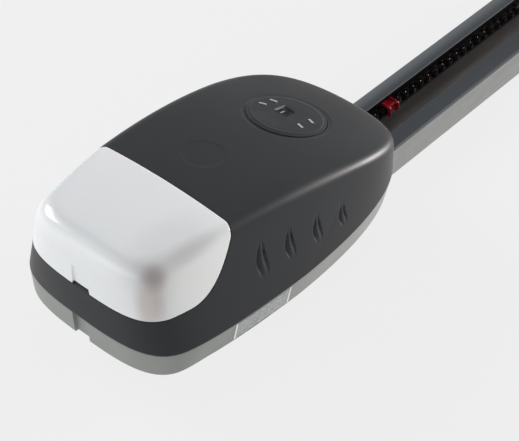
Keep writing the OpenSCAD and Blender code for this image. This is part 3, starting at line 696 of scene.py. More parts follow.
def inset(points, d):
    along = np.roll(points, -1, 0) - np.roll(points, 1, 0)
    along /= np.linalg.norm(along, axis=1)[:, None]
    return points + np.c_[-along[:, 1], along[:, 0]] * np.asarray(d, float).reshape(-1, 1)


def smooth(a, b, x):
    t = np.clip((x - a) / (b - a), 0, 1)
    return t * t * (3 - 2 * t)


def top_z(x, y):
    return CREST_Z - CROWN * (x / 88) ** 2 - 5.4e-4 * (y - CREST_Y) ** 2 - 1.2e-9 * (y - CREST_Y) ** 4


def with_z(xy, z):
    return np.c_[xy, np.broadcast_to(z, len(xy))]


def bearings(xy):
    return np.arctan2(xy[:, 0] - POLE[0], POLE[1] - xy[:, 1])


def at_bearings(ring, bearing):
    """Points of a closed ring seen from the pole at the given bearings."""
    a = np.unwrap(bearings(ring))
    a = np.append(a, a[0] + 2 * math.pi)
    p = np.vstack([ring, ring[:1]])
    t = a[0] + (bearing - a[0]) % (2 * math.pi)
    return np.stack([np.interp(t, a, p[:, k]) for k in range(3)], 1)


def skin_bearings():
    """Even steps round the head, closer together across the grooves and the lens's latch."""
    made = set(np.round(np.arange(-math.pi, math.pi, math.radians(1.0)), 6))
    zones = [(-2.0, 6.6, 0.22)]
    for side in (1, -1):
        for lip, _, _, width in GROOVES:
            middle = math.degrees(math.atan2(side * 97 - POLE[0], POLE[1] - lip + width / 2))
            zones.append((middle - 4.6, middle + 4.6, 0.36))
    for low, high, step in zones:
        low, high = math.radians(low), math.radians(high)
        made = {a for a in made if not low < a < high}
        made |= set(np.round(np.arange(low, high, math.radians(step)), 6))
    return np.array(sorted(made))


class Skin:
    """An open surface: points, their outward normals, faces and which points lie on its last cut."""

    def __init__(self, points, normals, faces, on_cut=None):
        self.points = points
        self.normals = normals
        self.faces = faces
        self.on_cut = np.zeros(len(points), bool) if on_cut is None else on_cut

    def clip(self, value):
        """The part where value > 0, cut cleanly where it is 0; a point near the cut slides onto it."""
        value = np.array(value, float)
        points = self.points.copy()
        snapped = {}
        for face in self.faces:
            for a, b in zip(face, face[1:] + face[:1]):
                if value[a] * value[b] < 0:
                    t = value[a] / (value[a] - value[b])
                    near, share, other = (a, t, b) if t < 0.5 else (b, 1 - t, a)
                    if share < 0.3 and share < snapped.get(near, (1, 0))[0]:
                        snapped[near] = (share, other)
        for near, (share, other) in snapped.items():
            points[near] = self.points[near] + (self.points[other] - self.points[near]) * share
            value[near] = 0
        extra, extra_normals, made = [], [], {}

        def crossing(a, b):
            key = (min(a, b), max(a, b))
            if key not in made:
                t = value[a] / (value[a] - value[b])
                made[key] = len(points) + len(extra)
                extra.append(points[a] + (points[b] - points[a]) * t)
                extra_normals.append(self.normals[a] + (self.normals[b] - self.normals[a]) * t)
            return made[key]

        faces = []
        for face in self.faces:
            if all(value[i] <= 0 for i in face):
                continue
            if all(value[i] >= 0 for i in face):
                faces.append(face)
                continue
            part = []
            for a, b in zip(face, face[1:] + face[:1]):
                if value[a] >= 0:
                    part.append(a)
                if value[a] * value[b] < 0:
                    part.append(crossing(a, b))
            if len(part) > 2:
                faces.append(part)
        value = np.append(value, np.zeros(len(extra)))
        all_points = np.vstack([points, np.array(extra).reshape(-1, 3)])
        all_normals = np.vstack([self.normals, np.array(extra_normals).reshape(-1, 3)])
        return Skin(all_points, all_normals, faces, value == 0).tidy()

    def tidy(self):
        """Drops unused points."""
        used = sorted({i for face in self.faces for i in face})
        new = {old: k for k, old in enumerate(used)}
        faces = [[new[i] for i in face] for face in self.faces]
        return Skin(self.points[used], self.normals[used], faces, self.on_cut[used])

    def plus(self, other):
        """This surface and another, welded where their points meet."""
        points = np.vstack([self.points, other.points])
        normals = np.vstack([self.normals, other.normals])
        keys, index = {}, []
        for k, p in enumerate(np.round(points, 4)):
            index.append(keys.setdefault(tuple(p), k))
        start = len(self.points)
        faces = self.faces + [[i + start for i in face] for face in other.faces]
        faces = [list(dict.fromkeys(index[i] for i in face)) for face in faces]
        return Skin(points, normals, [f for f in faces if len(f) > 2]).tidy()

    def shell(self, thickness):
        """Closed shell of that thickness inside the surface, with a rounded outer rim."""
        n = len(self.points)
        unit = self.normals / np.linalg.norm(self.normals, axis=1)[:, None]
        edges = {(a, b) for face in self.faces for a, b in zip(face, face[1:] + face[:1])}
        border = sorted((a, b) for a, b in edges if (b, a) not in edges)
        away = np.zeros((n, 3))
        for a, b in border:
            side = np.cross(self.points[b] - self.points[a], unit[a])
            side /= max(np.linalg.norm(side), 1e-9)
            away[a] += side
            away[b] += side
        on_border = sorted({i for edge in border for i in edge})
        away[on_border] /= np.maximum(np.linalg.norm(away[on_border], axis=1), 1e-9)[:, None]
        outer = self.points - away * RIM_R
        points = [outer, self.points - unit * thickness]
        row_of = {i: k for k, i in enumerate(on_border)}
        arc = [math.radians(a) for a in (45, 90)]
        for a in arc:
            turned_in = self.points - RIM_R * (away * (1 - math.sin(a)) + unit * (1 - math.cos(a)))
            points.append(turned_in[on_border])
        starts = [2 * n + k * len(on_border) for k in range(len(arc))]
        faces = self.faces + [[i + n for i in reversed(face)] for face in self.faces]
        for a, b in border:
            rows_a = [a] + [s + row_of[a] for s in starts] + [a + n]
            rows_b = [b] + [s + row_of[b] for s in starts] + [b + n]
            for k in range(len(rows_a) - 1):
                faces.append([rows_b[k], rows_a[k], rows_a[k + 1], rows_b[k + 1]])
        return np.vstack(points), faces


def head_skin():
    """The head's whole outer surface above the seam, with its grooves and dimple."""
    seam, ridge = outline(SEAM), outline(RIDGE)
    low = with_z(seam, SEAM_Z)
    sharp = np.c_[ridge, top_z(ridge[:, 0], ridge[:, 1])]
    reach = (18 - 8 * smooth(15, 110, ridge[:, 1]))[:, None]
    down = low - sharp
    side = sharp + down * (reach / np.linalg.norm(down, axis=1)[:, None])
    inward = np.c_[np.zeros(len(ridge)), np.clip(ridge[:, 1], 70, 290)] - ridge
    top_xy = ridge + inward * (reach / np.linalg.norm(inward, axis=1)[:, None])
    top = np.c_[top_xy, top_z(top_xy[:, 0], top_xy[:, 1])]
    bearing = skin_bearings()
    rings = [at_bearings(low + (side - low) * w, bearing) for w in np.linspace(0, 1, 47)]
    for t in np.linspace(0, 1, 12)[1:]:
        rings.append(at_bearings((1 - t) ** 2 * side + 2 * t * (1 - t) * sharp + t * t * top, bearing))
    rim_xy = rings[-1][:, :2] - POLE
    rim_r = np.linalg.norm(rim_xy, axis=1)
    towards = rim_xy / rim_r[:, None]
    inner_r = DIMPLE_R + 5
    for u in np.linspace(0, 1, 33)[1:]:
        xy = POLE + towards * (rim_r * (1 - u) + inner_r * u)[:, None]
        rings.append(np.c_[xy, top_z(xy[:, 0], xy[:, 1])])
    for r in (*(DIMPLE_R + step for step in (3, 1.6, 0.8, 0, -0.8, -1.6)), 16, 12, 8, 4):
        xy = POLE + towards * r
        rings.append(np.c_[xy, top_z(xy[:, 0], xy[:, 1])])
    grid = np.array(rings)
    across = np.roll(grid, -1, 1) - np.roll(grid, 1, 1)
    up = np.gradient(grid, axis=0)
    normals = np.cross(across, up)
    normals /= np.linalg.norm(normals, axis=2)[:, :, None]
    levels, columns = grid.shape[:2]
    last = (levels - 1) * columns
    faces = sides(levels, columns)
    faces += [[last + i, last + (i + 1) % columns, levels * columns] for i in range(columns)]
    points = np.vstack([grid.reshape(-1, 3), [[*POLE, top_z(*POLE)]]])
    normals = np.vstack([normals.reshape(-1, 3), [[0, 0, 1]]])
    sunk = groove_depth(points) + dimple_depth(points) + latch_depth(points)
    return Skin(points - normals * sunk[:, None], normals, faces)


def groove_depth(p):
    """Teardrops, pointed above and round below: deepest along the front edge, with a turn along the rear."""
    total = np.zeros(len(p))
    beside = (np.abs(p[:, 0]) > 70) & (p[:, 2] < 95)
    for lip, tip, foot, width in GROOVES:
        down = np.clip((tip - p[:, 2]) / (tip - foot), 0, 1)
        bowl = np.sqrt(np.clip(1 - (np.clip(down - 0.62, 0, 1) / 0.38) ** 2, 0, 1))
        spread = width * np.clip(down / 0.5, 0, 1) ** 0.6 * bowl
        rear = lip - width / 2 * (1 - bowl)
        across = (rear - p[:, 1]) / np.maximum(spread, 0.05)
        slope = np.interp(across, GROOVE_ACROSS, GROOVE_SHAPE)
        total += beside * GROOVE_DEPTH * smooth(0, 0.4, down) * smooth(1.0, 0.5, down) * slope
    return total


def dimple_depth(p):
    r = np.hypot(p[:, 0] - POLE[0], p[:, 1] - POLE[1])
    return (p[:, 2] > 95) * DIMPLE_DEPTH * smooth(DIMPLE_R + 1.2, DIMPLE_R - 1.6, r)


# Finger recess in the lens above the cover's latch tab
RECESS_X = (-8.6, 10.6)
RECESS_TOP = 86
RECESS_DEPTH = 1.9


def latch_depth(p):
    x, y, z = p.T
    inside = smooth(RECESS_X[0] - 0.5, RECESS_X[0] + 0.5, x) * smooth(RECESS_X[1] + 0.9, RECESS_X[1] - 2.2, x)
    fade = 0.4 * smooth(RECESS_TOP, RECESS_TOP - 7, z) + 0.6 * smooth(RECESS_TOP, LENS_LOW + 1, z)
    return (y < 20) * inside * fade * (z > LENS_LOW - 0.01) * RECESS_DEPTH


# ---- Where the lens parts from the cover ----

LENS_LOW = 61
LENS_EDGE = [(48, LENS_LOW), (70, 61.5), (88, 80), (102.5, 101)]
TAB_X = (-9, 11)
TAB_TOP = 63.2
TAB_BACK = 30


def lens_profile():
    curve = bezier(LENS_EDGE, np.linspace(0, 1, 40))
    return np.vstack([[(-60, LENS_LOW)], curve, [(105.5, 107), (111, 112), (114, 130)]])


def beyond_lens(p):
    """Distance in Y and Z from the parting line, positive on the cover's side."""
    line = lens_profile()
    yz = p[:, 1:]
    best = np.full(len(p), 1e9)
    for a, b in zip(line[:-1], line[1:]):
        s = np.clip((yz - a) @ (b - a) / ((b - a) @ (b - a)), 0, 1)
        best = np.minimum(best, np.linalg.norm(yz - a - s[:, None] * (b - a), axis=1))
    inside = (yz[:, 1] > np.interp(yz[:, 0], line[:, 0], line[:, 1])) & (yz[:, 0] < line[-1, 0])
    return np.where(inside, -best, best)


def panel_distance(p):
    """Distance from the panel's axis."""
    rel = p - np.array([PANEL_X, PANEL_Y, top_z(PANEL_X, PANEL_Y)])
    axis = np.array([0, -math.sin(PANEL_TILT), math.cos(PANEL_TILT)])
    return np.linalg.norm(rel - (rel @ axis)[:, None] * axis, axis=1)


def panel_ledge(skin):
    """Steps in from the round opening just cut to the panel, sinking most towards the right front."""
    edge = np.flatnonzero(skin.on_cut)
    turn = np.arctan2(skin.points[edge, 1] - PANEL_Y, skin.points[edge, 0] - PANEL_X)
    order = np.argsort(turn)
    edge, turn = edge[order], turn[order]
    side = 0.5 + 0.5 * np.cos(turn + math.radians(35))
    steps = [(44.2, 0), (43.5, 0.05), (42.9, 0.25), (42.3, 0.55), (41.6, 0.68), (40.6, 0.7), (39.7, 0.72),
             (39.2, 0.9), (PANEL_HOLE_R, 1.2)]
    points = [skin.points]
    for r, sunk in steps:
        x, y = PANEL_X + r * np.cos(turn), PANEL_Y + r * math.cos(PANEL_TILT) * np.sin(turn)
        points.append(np.c_[x, y, top_z(x, y) - sunk * (0.15 + 0.85 * side)])
    normals = [skin.normals] + [skin.normals[edge]] * len(steps)
    index = [*edge.tolist(), *range(len(skin.points), len(skin.points) + len(steps) * len(edge))]
    faces = [[index[i] for i in face] for face in sides(len(steps) + 1, len(edge))]
    return Skin(np.vstack(points), np.vstack(normals), skin.faces + faces)


def latch_tab(skin):
    """The middle of the front, which rises from the cover's edge into the lens's recess."""
    tab = skin.clip(-beyond_lens(skin.points))
    tab = tab.clip(tab.points[:, 0] - TAB_X[0])
    tab = tab.clip(TAB_X[1] - tab.points[:, 0])
    tab = tab.clip(TAB_TOP - tab.points[:, 2])
    return tab.clip(TAB_BACK - tab.points[:, 1])


def make_cover(skin):
    cover = skin.clip(beyond_lens(skin.points)).plus(latch_tab(skin))
    cover = cover.clip(panel_distance(cover.points) - LEDGE_R)
    points, faces = panel_ledge(cover).shell(COVER_T)
    shell = mesh_object("cover_shell", points + HEAD_PLACE, faces, FINISHES["cover_charcoal"], HEAD_SMOOTH)
    stand_for(shell, "top_cover")


def make_lens(skin):
    lens = skin.clip(-beyond_lens(skin.points) - GAP)
    upper = lens.clip(lens.points[:, 2] - TAB_TOP - GAP)
    lower = lens.clip(TAB_TOP + GAP - lens.points[:, 2])
    right = lower.clip(lower.points[:, 0] - TAB_X[1] - GAP)
    left = lower.clip(TAB_X[0] - GAP - lower.points[:, 0])
    points, faces = upper.plus(right).plus(left).shell(LENS_T)
    shell = mesh_object("lens_shell", points + HEAD_PLACE, faces, FINISHES["lens_white"], HEAD_SMOOTH)
    stand_for(shell, "light_lens")


whole_head = head_skin()
make_cover(whole_head)
make_lens(whole_head)


# ---- Base tray ----

TRAY_H = 25.7
TRAY_WALL = 2.5
TRAY_FLOOR = 2.5
NOTCH_X = (-11.5, 7)
POSTS = [(84, 58), (88, 262)]
POST_SOCKET = [(0, -1), (5.0, -1), (5.0, 0.1), (4.4, 0.7), (4.4, 8), (0, 8)]
NECK_R = 26
GLAND_R = 7.3


def tray_wall(d, z):
    """The tray's outline at height z, drawn in by d; its walls lean in below the seam, least at the front."""
    seam = outline(SEAM)
    return inset(seam, d + (5 - 4 * smooth(60, 0, seam[:, 1])) * (1 - z / TRAY_H))


def make_tray():
    bearing = np.arange(-math.pi, math.pi, math.radians(0.9))
    foot = 1.6
    levels = [(foot * (1 - math.sin(a)), foot * (1 - math.cos(a))) for a in np.radians([0, 22, 45, 68, 90])]
    levels += [(0, z) for z in (5, 9, 13, 17, 21, 24.9)] + [(0.12, 25.3), (0.4, 25.58), (0.8, TRAY_H)]
    levels += [(TRAY_WALL - 0.3, TRAY_H), (TRAY_WALL, 25.4), (TRAY_WALL, 14), (TRAY_WALL, 3.5)]
    levels.append((3.5, TRAY_FLOOR))
    rings = [at_bearings(with_z(tray_wall(d, z), z), bearing) for d, z in levels]
    faces = capped(len(rings), len(bearing))
    tray = mesh_object("tray_shell", np.vstack(rings), faces, FINISHES["tray_grey"])
    rib = rounded_box((NOTCH_X[0] - 2.5, 2.2, 1.2), (NOTCH_X[1] + 2.5, 8, 25.2), 0.6)
    combine(tray, mesh_object("rib", *rib, FINISHES["tray_grey"]), "UNION")
    tools = [rounded_box((NOTCH_X[0], -6, -3), (NOTCH_X[1], 5, 29), 0.9)]
    tools += [moved(lathe(POST_SOCKET, 32), side * x, y, 0) for x, y in POSTS for side in (-1, 1)]
    tools.append(moved(rod(NECK_R, -1, 5, 64), 0, -HEAD_Y, 0))
    gland = np.mean(box_mm("cable_gland"), axis=0) - HEAD_PLACE
    tools.append(moved(rod(GLAND_R, -1, 5, 32), gland[0], gland[1], 0))
    cut(tray, *tools)
    tray.data.transform(Matrix.Translation(Vector(HEAD_PLACE * MM)))
    stand_for(tray, "base_tray")


def make_label():
    """Blank film label on the tray's right flank."""
    y_line = np.linspace(*LABEL_Y, 27)
    z_line = np.linspace(*LABEL_Z, 9)
    grid = []
    for z in z_line:
        wall = tray_wall(0, z)
        flank = wall[(wall[:, 0] > 60) & (wall[:, 1] > 40) & (wall[:, 1] < 220)]
        flank = flank[np.argsort(flank[:, 1])]
        grid.append([(np.interp(y, flank[:, 1], flank[:, 0]), y, z) for y in y_line])
    grid = np.array(grid)
    rows, cols = grid.shape[:2]
    front = grid + [0.3, 0, 0]
    back = grid - [0.5, 0, 0]
    verts = np.vstack([front.reshape(-1, 3), back.reshape(-1, 3)])
    n = rows * cols
    faces = []
    for k in range(rows - 1):
        for i in range(cols - 1):
            quad = [k * cols + i, k * cols + i + 1, (k + 1) * cols + i + 1, (k + 1) * cols + i]
            faces += [quad, [q + n for q in reversed(quad)]]
    ring = list(range(cols)) + [k * cols + cols - 1 for k in range(1, rows)]
    ring += [(rows - 1) * cols + i for i in range(cols - 2, -1, -1)]
    ring += [k * cols for k in range(rows - 2, 0, -1)]
    for a, b in zip(ring, ring[1:] + ring[:1]):
        faces.append([b, a, a + n, b + n])
    label = outward(mesh_object("blank_label", verts + HEAD_PLACE, faces, LABEL))
    detail(label, "base_tray", "tray_grey")


make_tray()
make_label()


# ---- Control panel ----

PANEL_PLACE = HEAD_PLACE + (PANEL_X, PANEL_Y, top_z(PANEL_X, PANEL_Y))
PANEL = Matrix.Translation(Vector(PANEL_PLACE)) @ Matrix.Rotation(PANEL_TILT, 4, "X")
WINDOW = (-13.1, 1.9, -2.1, 13.9)
CAP_R = 4.2
CAP_GAP = 0.15
# Each key's place on the panel, and its mark's turn and length
KEYS = {"up": (-25.5, 11.4, 19, 7.5), "down": (-26.9, -2.8, 31, 7.2),
        "left": (20.1, 12.1, -19, 7.7), "right": (20.5, -4.4, -19, 7.7)}
PANEL_SMOOTH = 24
# Radius and height round the panel's axis: a shallow crown, a groove, the outer rim and the underside
POD_PROFILE = [(0, 0.16), (16, 0.17), (26, 0.14), (30.0, 0.05), (32.8, -0.08), (33.6, 0.0), (34.3, 0.02),
               (34.9, -0.12), (35.3, -0.38), (35.8, -0.46), (36.6, -0.5), (38.0, -0.56), (38.4, -0.75),
               (38.5, -1.4), (38.5, -5.8), (33.8, -5.8), (33.8, -3.6), (0, -3.6)]
CAP_PROFILE = [(0, 0.2), (3.5, 0.2), (4.0, 0.14), (CAP_R, -0.1), (CAP_R, -1.7), (CAP_R + 0.6, -1.7),
               (CAP_R + 0.6, -3.2), (1.8, -3.2), (1.8, -6.4), (0, -6.4)]
BEZEL_PROFILE = [(-0.9, 0.12), (-0.8, 0.34), (-0.2, 0.42), (0.4, 0.3), (1.1, -0.75), (1.1, -1.0),
                 (0.05, -1.0), (0.05, 0.05)]
DASH_PLACE = (-6.9, 2.3, -0.84)


def bezel_finish():
    """Dark grey moulding with a painted highlight along its left bar."""
    colour = (0.010, 0.0115, 0.0120)
    made = Finish("bezel_grey", colour, 0.42, Specular_IOR_Level=0.25)
    bar = (PANEL_PLACE[0] + WINDOW[0]) * MM
    # Painted highlight along the left bar
    made.tint(made.ramp(made.axis("X"), bar + 0.0012, bar + 0.0006, 0, 0.8), (0.13, 0.137, 0.137))
    made.mottle((200, 3), (0.4, 0.7), 0.3, (0.014, 0.016, 0.017))
    made.uneven(made.noise(90, 3), 0.05)
    made.raised(made.noise(1500, 2), 0.005)
    return made.done()


def panel_piece(name, form, finish, smooth_angle=SMOOTH_ANGLE):
    """A piece from a form in the panel's own tilted place."""
    return outward(mesh_object(name, *turned(form, PANEL), finish, smooth_angle))


def make_panel():
    x0, x1, y0, y1 = WINDOW
    pod = outward(mesh_object("pod", *lathe(POD_PROFILE, 160), FINISHES["panel_black"], PANEL_SMOOTH))
    holes = [moved(rod(CAP_R + CAP_GAP, -6, 4, 48), x, y, 0) for x, y, _, _ in KEYS.values()]
    cut(pod, *holes, rounded_box((x0, y0, -6), (x1, y1, 3), 1.2, 4))
    face = mesh_object("panel_face", *turned(form_of(pod), PANEL), FINISHES["panel_black"], PANEL_SMOOTH)
    stand_for(face, "panel_disc")

    bezel = rounded_frame((x0, y0), (x1, y1), 1.5, BEZEL_PROFILE)
    detail(panel_piece("display_bezel", bezel, bezel_finish(), PANEL_SMOOTH), "panel_disc")

    glass = rounded_box((x0 + 0.25, y0 + 0.25, -1.4), (x1 - 0.25, y1 - 0.25, -0.8), 0.25)
    stand_for(panel_piece("display_glass", glass, FINISHES["window_smoke"]), "display_window")
    dash = moved(rounded_box((-0.65, -2.9, 0), (0.65, 2.9, 0.16), 0.07), *DASH_PLACE)
    detail(panel_piece("display_dash", dash, MARK_WHITE), "display_window", "lens_white")


def make_keys():
    for name, (x, y, turn, length) in KEYS.items():
        node = "button_" + name
        cap = moved(lathe(CAP_PROFILE, 48), x, y, 0)
        stand_for(panel_piece("key_cap_" + name, cap, FINISHES["panel_black"], PANEL_SMOOTH), node)
        bar = rounded_box((-length / 2, -1.2, 0.05), (length / 2, 1.2, 0.40), 0.17)
        mark = moved(turned(bar, Matrix.Rotation(math.radians(turn), 4, "Z")), x, y, 0)
        detail(panel_piece("key_mark_" + name, mark, MARK_WHITE), node, "lens_white")


make_panel()
make_keys()


# ---- Rail ----

RAIL_T = 1.6
RAIL_W = RAIL_HIGH[0] - RAIL_LOW[0]
RAIL_H = RAIL_HIGH[2]
SLOT_W = 39.2
BEND_R = 2.6


def rail_section():
    """Closed outline of the rolled C section: its centre line with round bends, thickened by the sheet."""
    half_w = RAIL_W / 2 - RAIL_T / 2
    low, high = RAIL_T / 2, RAIL_H - RAIL_T / 2
    line = [(SLOT_W / 2 + RAIL_T / 2, high)]
    for cx, cz, start in ((half_w - BEND_R, high - BEND_R, 90), (half_w - BEND_R, low + BEND_R, 0),
                          (-half_w + BEND_R, low + BEND_R, -90), (-half_w + BEND_R, high - BEND_R, -180)):
        for a in np.radians(np.linspace(start, start - 90, 8)):
            line.append((cx + BEND_R * math.cos(a), cz + BEND_R * math.sin(a)))
    line.append((-SLOT_W / 2 - RAIL_T / 2, high))
    line = np.array(line)
    along = np.gradient(line, axis=0)
    along /= np.linalg.norm(along, axis=1)[:, None]
    side = np.c_[-along[:, 1], along[:, 0]]
    outer = line + side * RAIL_T / 2
    inner = line - side * RAIL_T / 2

    def round_end(point, direction, first):
        turn = np.radians([[30], [60], [90], [120], [150]])
        return point + RAIL_T / 2 * (np.cos(turn) * first + np.sin(turn) * direction)

    end = round_end(line[-1], along[-1], side[-1])
    start = round_end(line[0], -along[0], -side[0])
    return np.vstack([outer, end, inner[::-1], start])


def make_rail():
    section = rail_section()
    low, high = RAIL_LOW[1], RAIL_HIGH[1]
    stations = [low, *np.linspace(low + 0.5, high - 0.5, 13), high]
    verts = [(x, y, z) for y in stations for x, z in section]
    faces = capped(len(stations), len(section))
    stand_for(outward(mesh_object("rail_section", verts, faces, RAIL_STEEL)), "rail")


make_rail()


# ---- Roller chain ----

CHAIN_R = 18.566
CHAIN_Z = 20
CHAIN_HALF_H = 4
PLATE_T = 1.1
PITCH = 12.7
IDLER_Y = float(np.mean(box_mm("idler_sprocket"), axis=0)[1])


def chain_point(s):
    """The point at length s round the closed chain path, counter-clockwise from the drive's right side."""
    run, turn = IDLER_Y, math.pi * CHAIN_R
    s = s % (2 * run + 2 * turn)
    if s < run:
        return np.array([CHAIN_R, s])
    if s < run + turn:
        a = (s - run) / CHAIN_R
        return np.array([CHAIN_R * math.cos(a), IDLER_Y + CHAIN_R * math.sin(a)])
    if s < 2 * run + turn:
        return np.array([-CHAIN_R, IDLER_Y - (s - run - turn)])
    a = math.pi + (s - 2 * run - turn) / CHAIN_R
    return np.array([CHAIN_R * math.cos(a), CHAIN_R * math.sin(a)])


def link_plate(a, b, low, high, half_w, waist):
    """Figure-of-eight plate between two pins."""
    along = (b - a) / np.linalg.norm(b - a)
    across = np.array([-along[1], along[0]])
    rim = []
    for centre, start, side in ((b, -90, waist), (a, 90, -waist)):
        for turn in np.radians(np.linspace(start + 12, start + 168, 6)):
            rim.append(centre + half_w * (math.cos(turn) * along + math.sin(turn) * across))
        rim.append((a + b) / 2 + across * side)
    return [(x, y, z) for z in (low, high) for x, y in rim], capped(2, len(rim))


def link_parts(a, b, outer):
    top = CHAIN_Z + CHAIN_HALF_H
    lift = 0 if outer else PLATE_T
    half_w, waist = (4.5, 1.7) if outer else (4.8, 2.1)
    parts = []
    for low in (top - PLATE_T - lift, CHAIN_Z - CHAIN_HALF_H + lift):
        parts.append(link_plate(a, b, low, low + PLATE_T, half_w, waist))
    roller = lathe([(3.9, CHAIN_Z - 1.75), (3.9, CHAIN_Z + 1.75)], 10)
    pin = lathe([(0, CHAIN_Z - 4.35), (1.5, CHAIN_Z - 4.3), (1.8, CHAIN_Z - 3.9), (1.8, CHAIN_Z + 3.9),
                 (1.5, CHAIN_Z + 4.3), (0, CHAIN_Z + 4.35)], 7)
    parts += [moved(roller, a[0], a[1], 0), moved(pin, a[0], a[1], 0)]
    return parts


def make_chain():
    total = 2 * IDLER_Y + 2 * math.pi * CHAIN_R
    count = round(total / PITCH)
    groups = {"chain_left": [], "chain_right": [], "chain_wraps": []}
    for i in range(count):
        a, b = chain_point(total * i / count), chain_point(total * (i + 1) / count)
        middle = (a + b) / 2
        if middle[1] < 0 or middle[1] > IDLER_Y:
            owner = "chain_wraps"
        else:
            owner = "chain_left" if middle[0] < 0 else "chain_right"
        groups[owner] += link_parts(a, b, i % 2 == 0)
    for node, parts in groups.items():
        stand_for(mesh_object(node + "_links", *joined(*parts), FINISHES["chain_black"], 30), node)


make_chain()


# ---- Spring, shuttle and the smaller ironwork ----

def make_spring():
    """The chain tensioner's coil spring as one wire, its end turns closed up."""
    low, high = box_mm("tension_spring")
    centre = (low + high) / 2
    wire = 1.6
    radius = (high[0] - low[0]) / 2 - wire
    turns, steps, round_wire = 8, 36, 10
    length = high[1] - low[1] - 2 * wire
    count = turns * steps
    verts = []
    for k in range(count + 1):
        share = k / count
        a = 2 * math.pi * turns * share
        eased = smooth(0.02, 0.98, np.array(share)) * 0.35 + share * 0.65
        y = low[1] + wire + length * eased
        for b in np.arange(round_wire) * 2 * math.pi / round_wire:
            r = radius + wire * math.cos(b)
            verts.append((centre[0] + r * math.cos(a), y + wire * math.sin(b), centre[2] + r * math.sin(a)))
    finish = FINISHES[SLOT_OF["tension_spring"]]
    spring = mesh_object("spring_coil", verts, capped(count + 1, round_wire), finish, 50)
    stand_for(outward(spring), "tension_spring")


# How far each plainer node's edges are rounded
ROUNDED = {
    "rail_saddle": 1.2, "rail_end_plate": 0.5, "tension_anchor": 0.5, "idler_fork": 0.4,
    "tension_rod": 0.35, "ceiling_brackets": 0.5, "rail_bolts": 0.35, "travel_stop": 1.2,
    "wall_bracket": 0.6, "trolley_body": 1.0, "trolley_latch": 0.5, "release_lever": 0.7,
    "arm_pivot_pin": 0.4, "door_arm": 0.7, "door_bracket_pin": 0.4, "door_bracket": 0.6,
    "idler_sprocket": 0.25, "idler_axle": 0.3, "cable_gland": 0.4, "chassis_plate": 0.4,
    "saddle_clamps": 0.4, "drive_sprocket": 0.25,
}


def make_shuttle():
    """Two rounded lugs on a round-edged clip, bored for the chain."""
    low, high = box_mm("chain_shuttle")
    lug = 5.0
    forms = [rounded_box((low[0] + 0.3, y, low[2] + 0.2), (high[0] - 0.3, y + lug, high[2] - 0.1), 2.45, 6)
             for y in (low[1], high[1] - lug)]
    forms.append(rounded_box((low[0] + 0.6, low[1] + 2, low[2] + 1), (-13, high[1] - 2, high[2] - 1), 2.2, 5))
    half_w, half_h = 5.3, CHAIN_HALF_H + 0.4
    bore = rounded_box((-CHAIN_R - half_w, low[1] - 5, CHAIN_Z - half_h),
                       (-CHAIN_R + half_w, high[1] + 5, CHAIN_Z + half_h), 0.5)
    parts = []
    for form in forms:
        piece = outward(mesh_object("shuttle_part", *form, FINISHES["red_plastic"]))
        cut(piece, bore)
        parts.append(form_of(piece))
    stand_for(mesh_object("shuttle_clip", *joined(*parts), FINISHES["red_plastic"], 40), "chain_shuttle")


make_spring()
make_shuttle()
for node, width in ROUNDED.items():
    refined(node, width)


# ---- Camera, lights and floor ----

VIEW_TURN = math.radians(41.82)
VIEW_HEIGHT = math.radians(43.48)
VIEW_TARGET = Vector((0.01423, 0.00756, 0.0455))
VIEW_DISTANCE = 1.45759
LENS_MM = 108.1
SENSOR_MM = 36
FLOOR_HALF = 40


def make_camera():
    level = math.cos(VIEW_HEIGHT)
    back = Vector((math.sin(VIEW_TURN) * level, -math.cos(VIEW_TURN) * level, math.sin(VIEW_HEIGHT)))
    right = Vector((math.cos(VIEW_TURN), math.sin(VIEW_TURN), 0))
    data = bpy.data.cameras.new("camera")
    data.lens = LENS_MM
    data.sensor_width = SENSOR_MM
    data.clip_start = 0.05
    data.clip_end = 200
    camera = placed("camera", data)
    turn = Matrix((right, back.cross(right), back)).transposed()
    camera.matrix_world = Matrix.Translation(VIEW_TARGET + back * VIEW_DISTANCE) @ turn.to_4x4()
    bpy.context.scene.camera = camera


def soft_light(name, place, aim, size, power, colour=(1, 1, 1)):
    data = bpy.data.lights.new(name, "AREA")
    data.shape = "RECTANGLE"
    data.size, data.size_y = size
    data.energy = power
    data.color = colour
    light = placed(name, data)
    light.location = place
    light.rotation_euler = (Vector(aim) - Vector(place)).to_track_quat("-Z", "Y").to_euler()


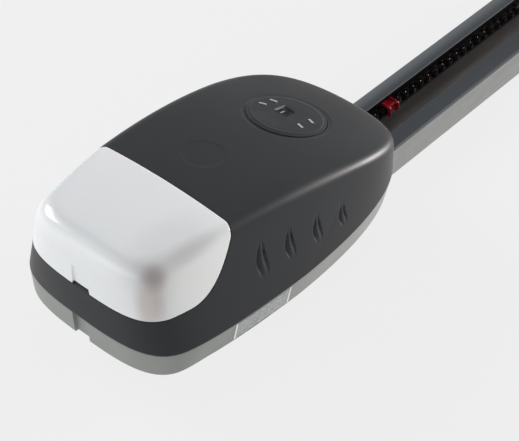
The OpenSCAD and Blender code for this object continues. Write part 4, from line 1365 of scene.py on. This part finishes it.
def make_world():
    """Lights the object more dimly than it looks to the camera, which sees the photograph's pale ground."""
    scene = bpy.context.scene
    scene.view_settings.view_transform = "Standard"
    world = bpy.data.worlds.new("studio")
    scene.world = world
    world.use_nodes = True
    nodes, links = world.node_tree.nodes, world.node_tree.links
    sky = nodes["Background"]
    sky.inputs["Color"].default_value = (0.41, 0.42, 0.43, 1)
    seen = nodes.new("ShaderNodeBackground")
    seen.inputs["Color"].default_value = (0.855, 0.855, 0.855, 1)
    path = nodes.new("ShaderNodeLightPath")
    mix = nodes.new("ShaderNodeMixShader")
    links.new(path.outputs["Is Camera Ray"], mix.inputs[0])
    links.new(sky.outputs[0], mix.inputs[1])
    links.new(seen.outputs[0], mix.inputs[2])
    links.new(mix.outputs[0], nodes["World Output"].inputs["Surface"])


def make_floor():
    """A pale plain floor that glows a little, so it matches the ground above the horizon."""
    half = FLOOR_HALF
    mesh = bpy.data.meshes.new("floor")
    corners = [(-half, -half, 0), (half, -half, 0), (half, half, 0), (-half, half, 0)]
    mesh.from_pydata(corners, [], [(0, 1, 2, 3)])
    floor = placed("floor", mesh)
    floor.location.z = -0.002
    material = bpy.data.materials.new("floor")
    material.use_nodes = True
    shader = material.node_tree.nodes["Principled BSDF"]
    shader.inputs["Base Color"].default_value = (0.06, 0.06, 0.06, 1)
    shader.inputs["Roughness"].default_value = 0.9
    shader.inputs["Specular IOR Level"].default_value = 0.0
    shader.inputs["Emission Color"].default_value = (1, 1, 1, 1)
    shader.inputs["Emission Strength"].default_value = 0.80
    mesh.materials.append(material)


def make_lights():
    soft_light("rear_box", (2.87, 8.64, 1.65), (0.05, 0.0, 0.12), (3.6, 2.2), 1250, (1, 0.95, 0.94))
    soft_light("left_box", (-3.33, -0.8, 2.31), (-0.03, -0.16, 0.13), (2.4, 1.6), 106, (0.98, 0.99, 1))
    soft_light("front_key", (-0.3, -3.4, 1.5), (0.02, -0.12, 0.1), (4.2, 2.4), 50)


make_camera()
make_world()
make_floor()
make_lights()

for node, thing in frame["nodes"].items():
    thing.data.materials.clear()
    thing.data.materials.append(FINISHES[SLOT_OF[node]])
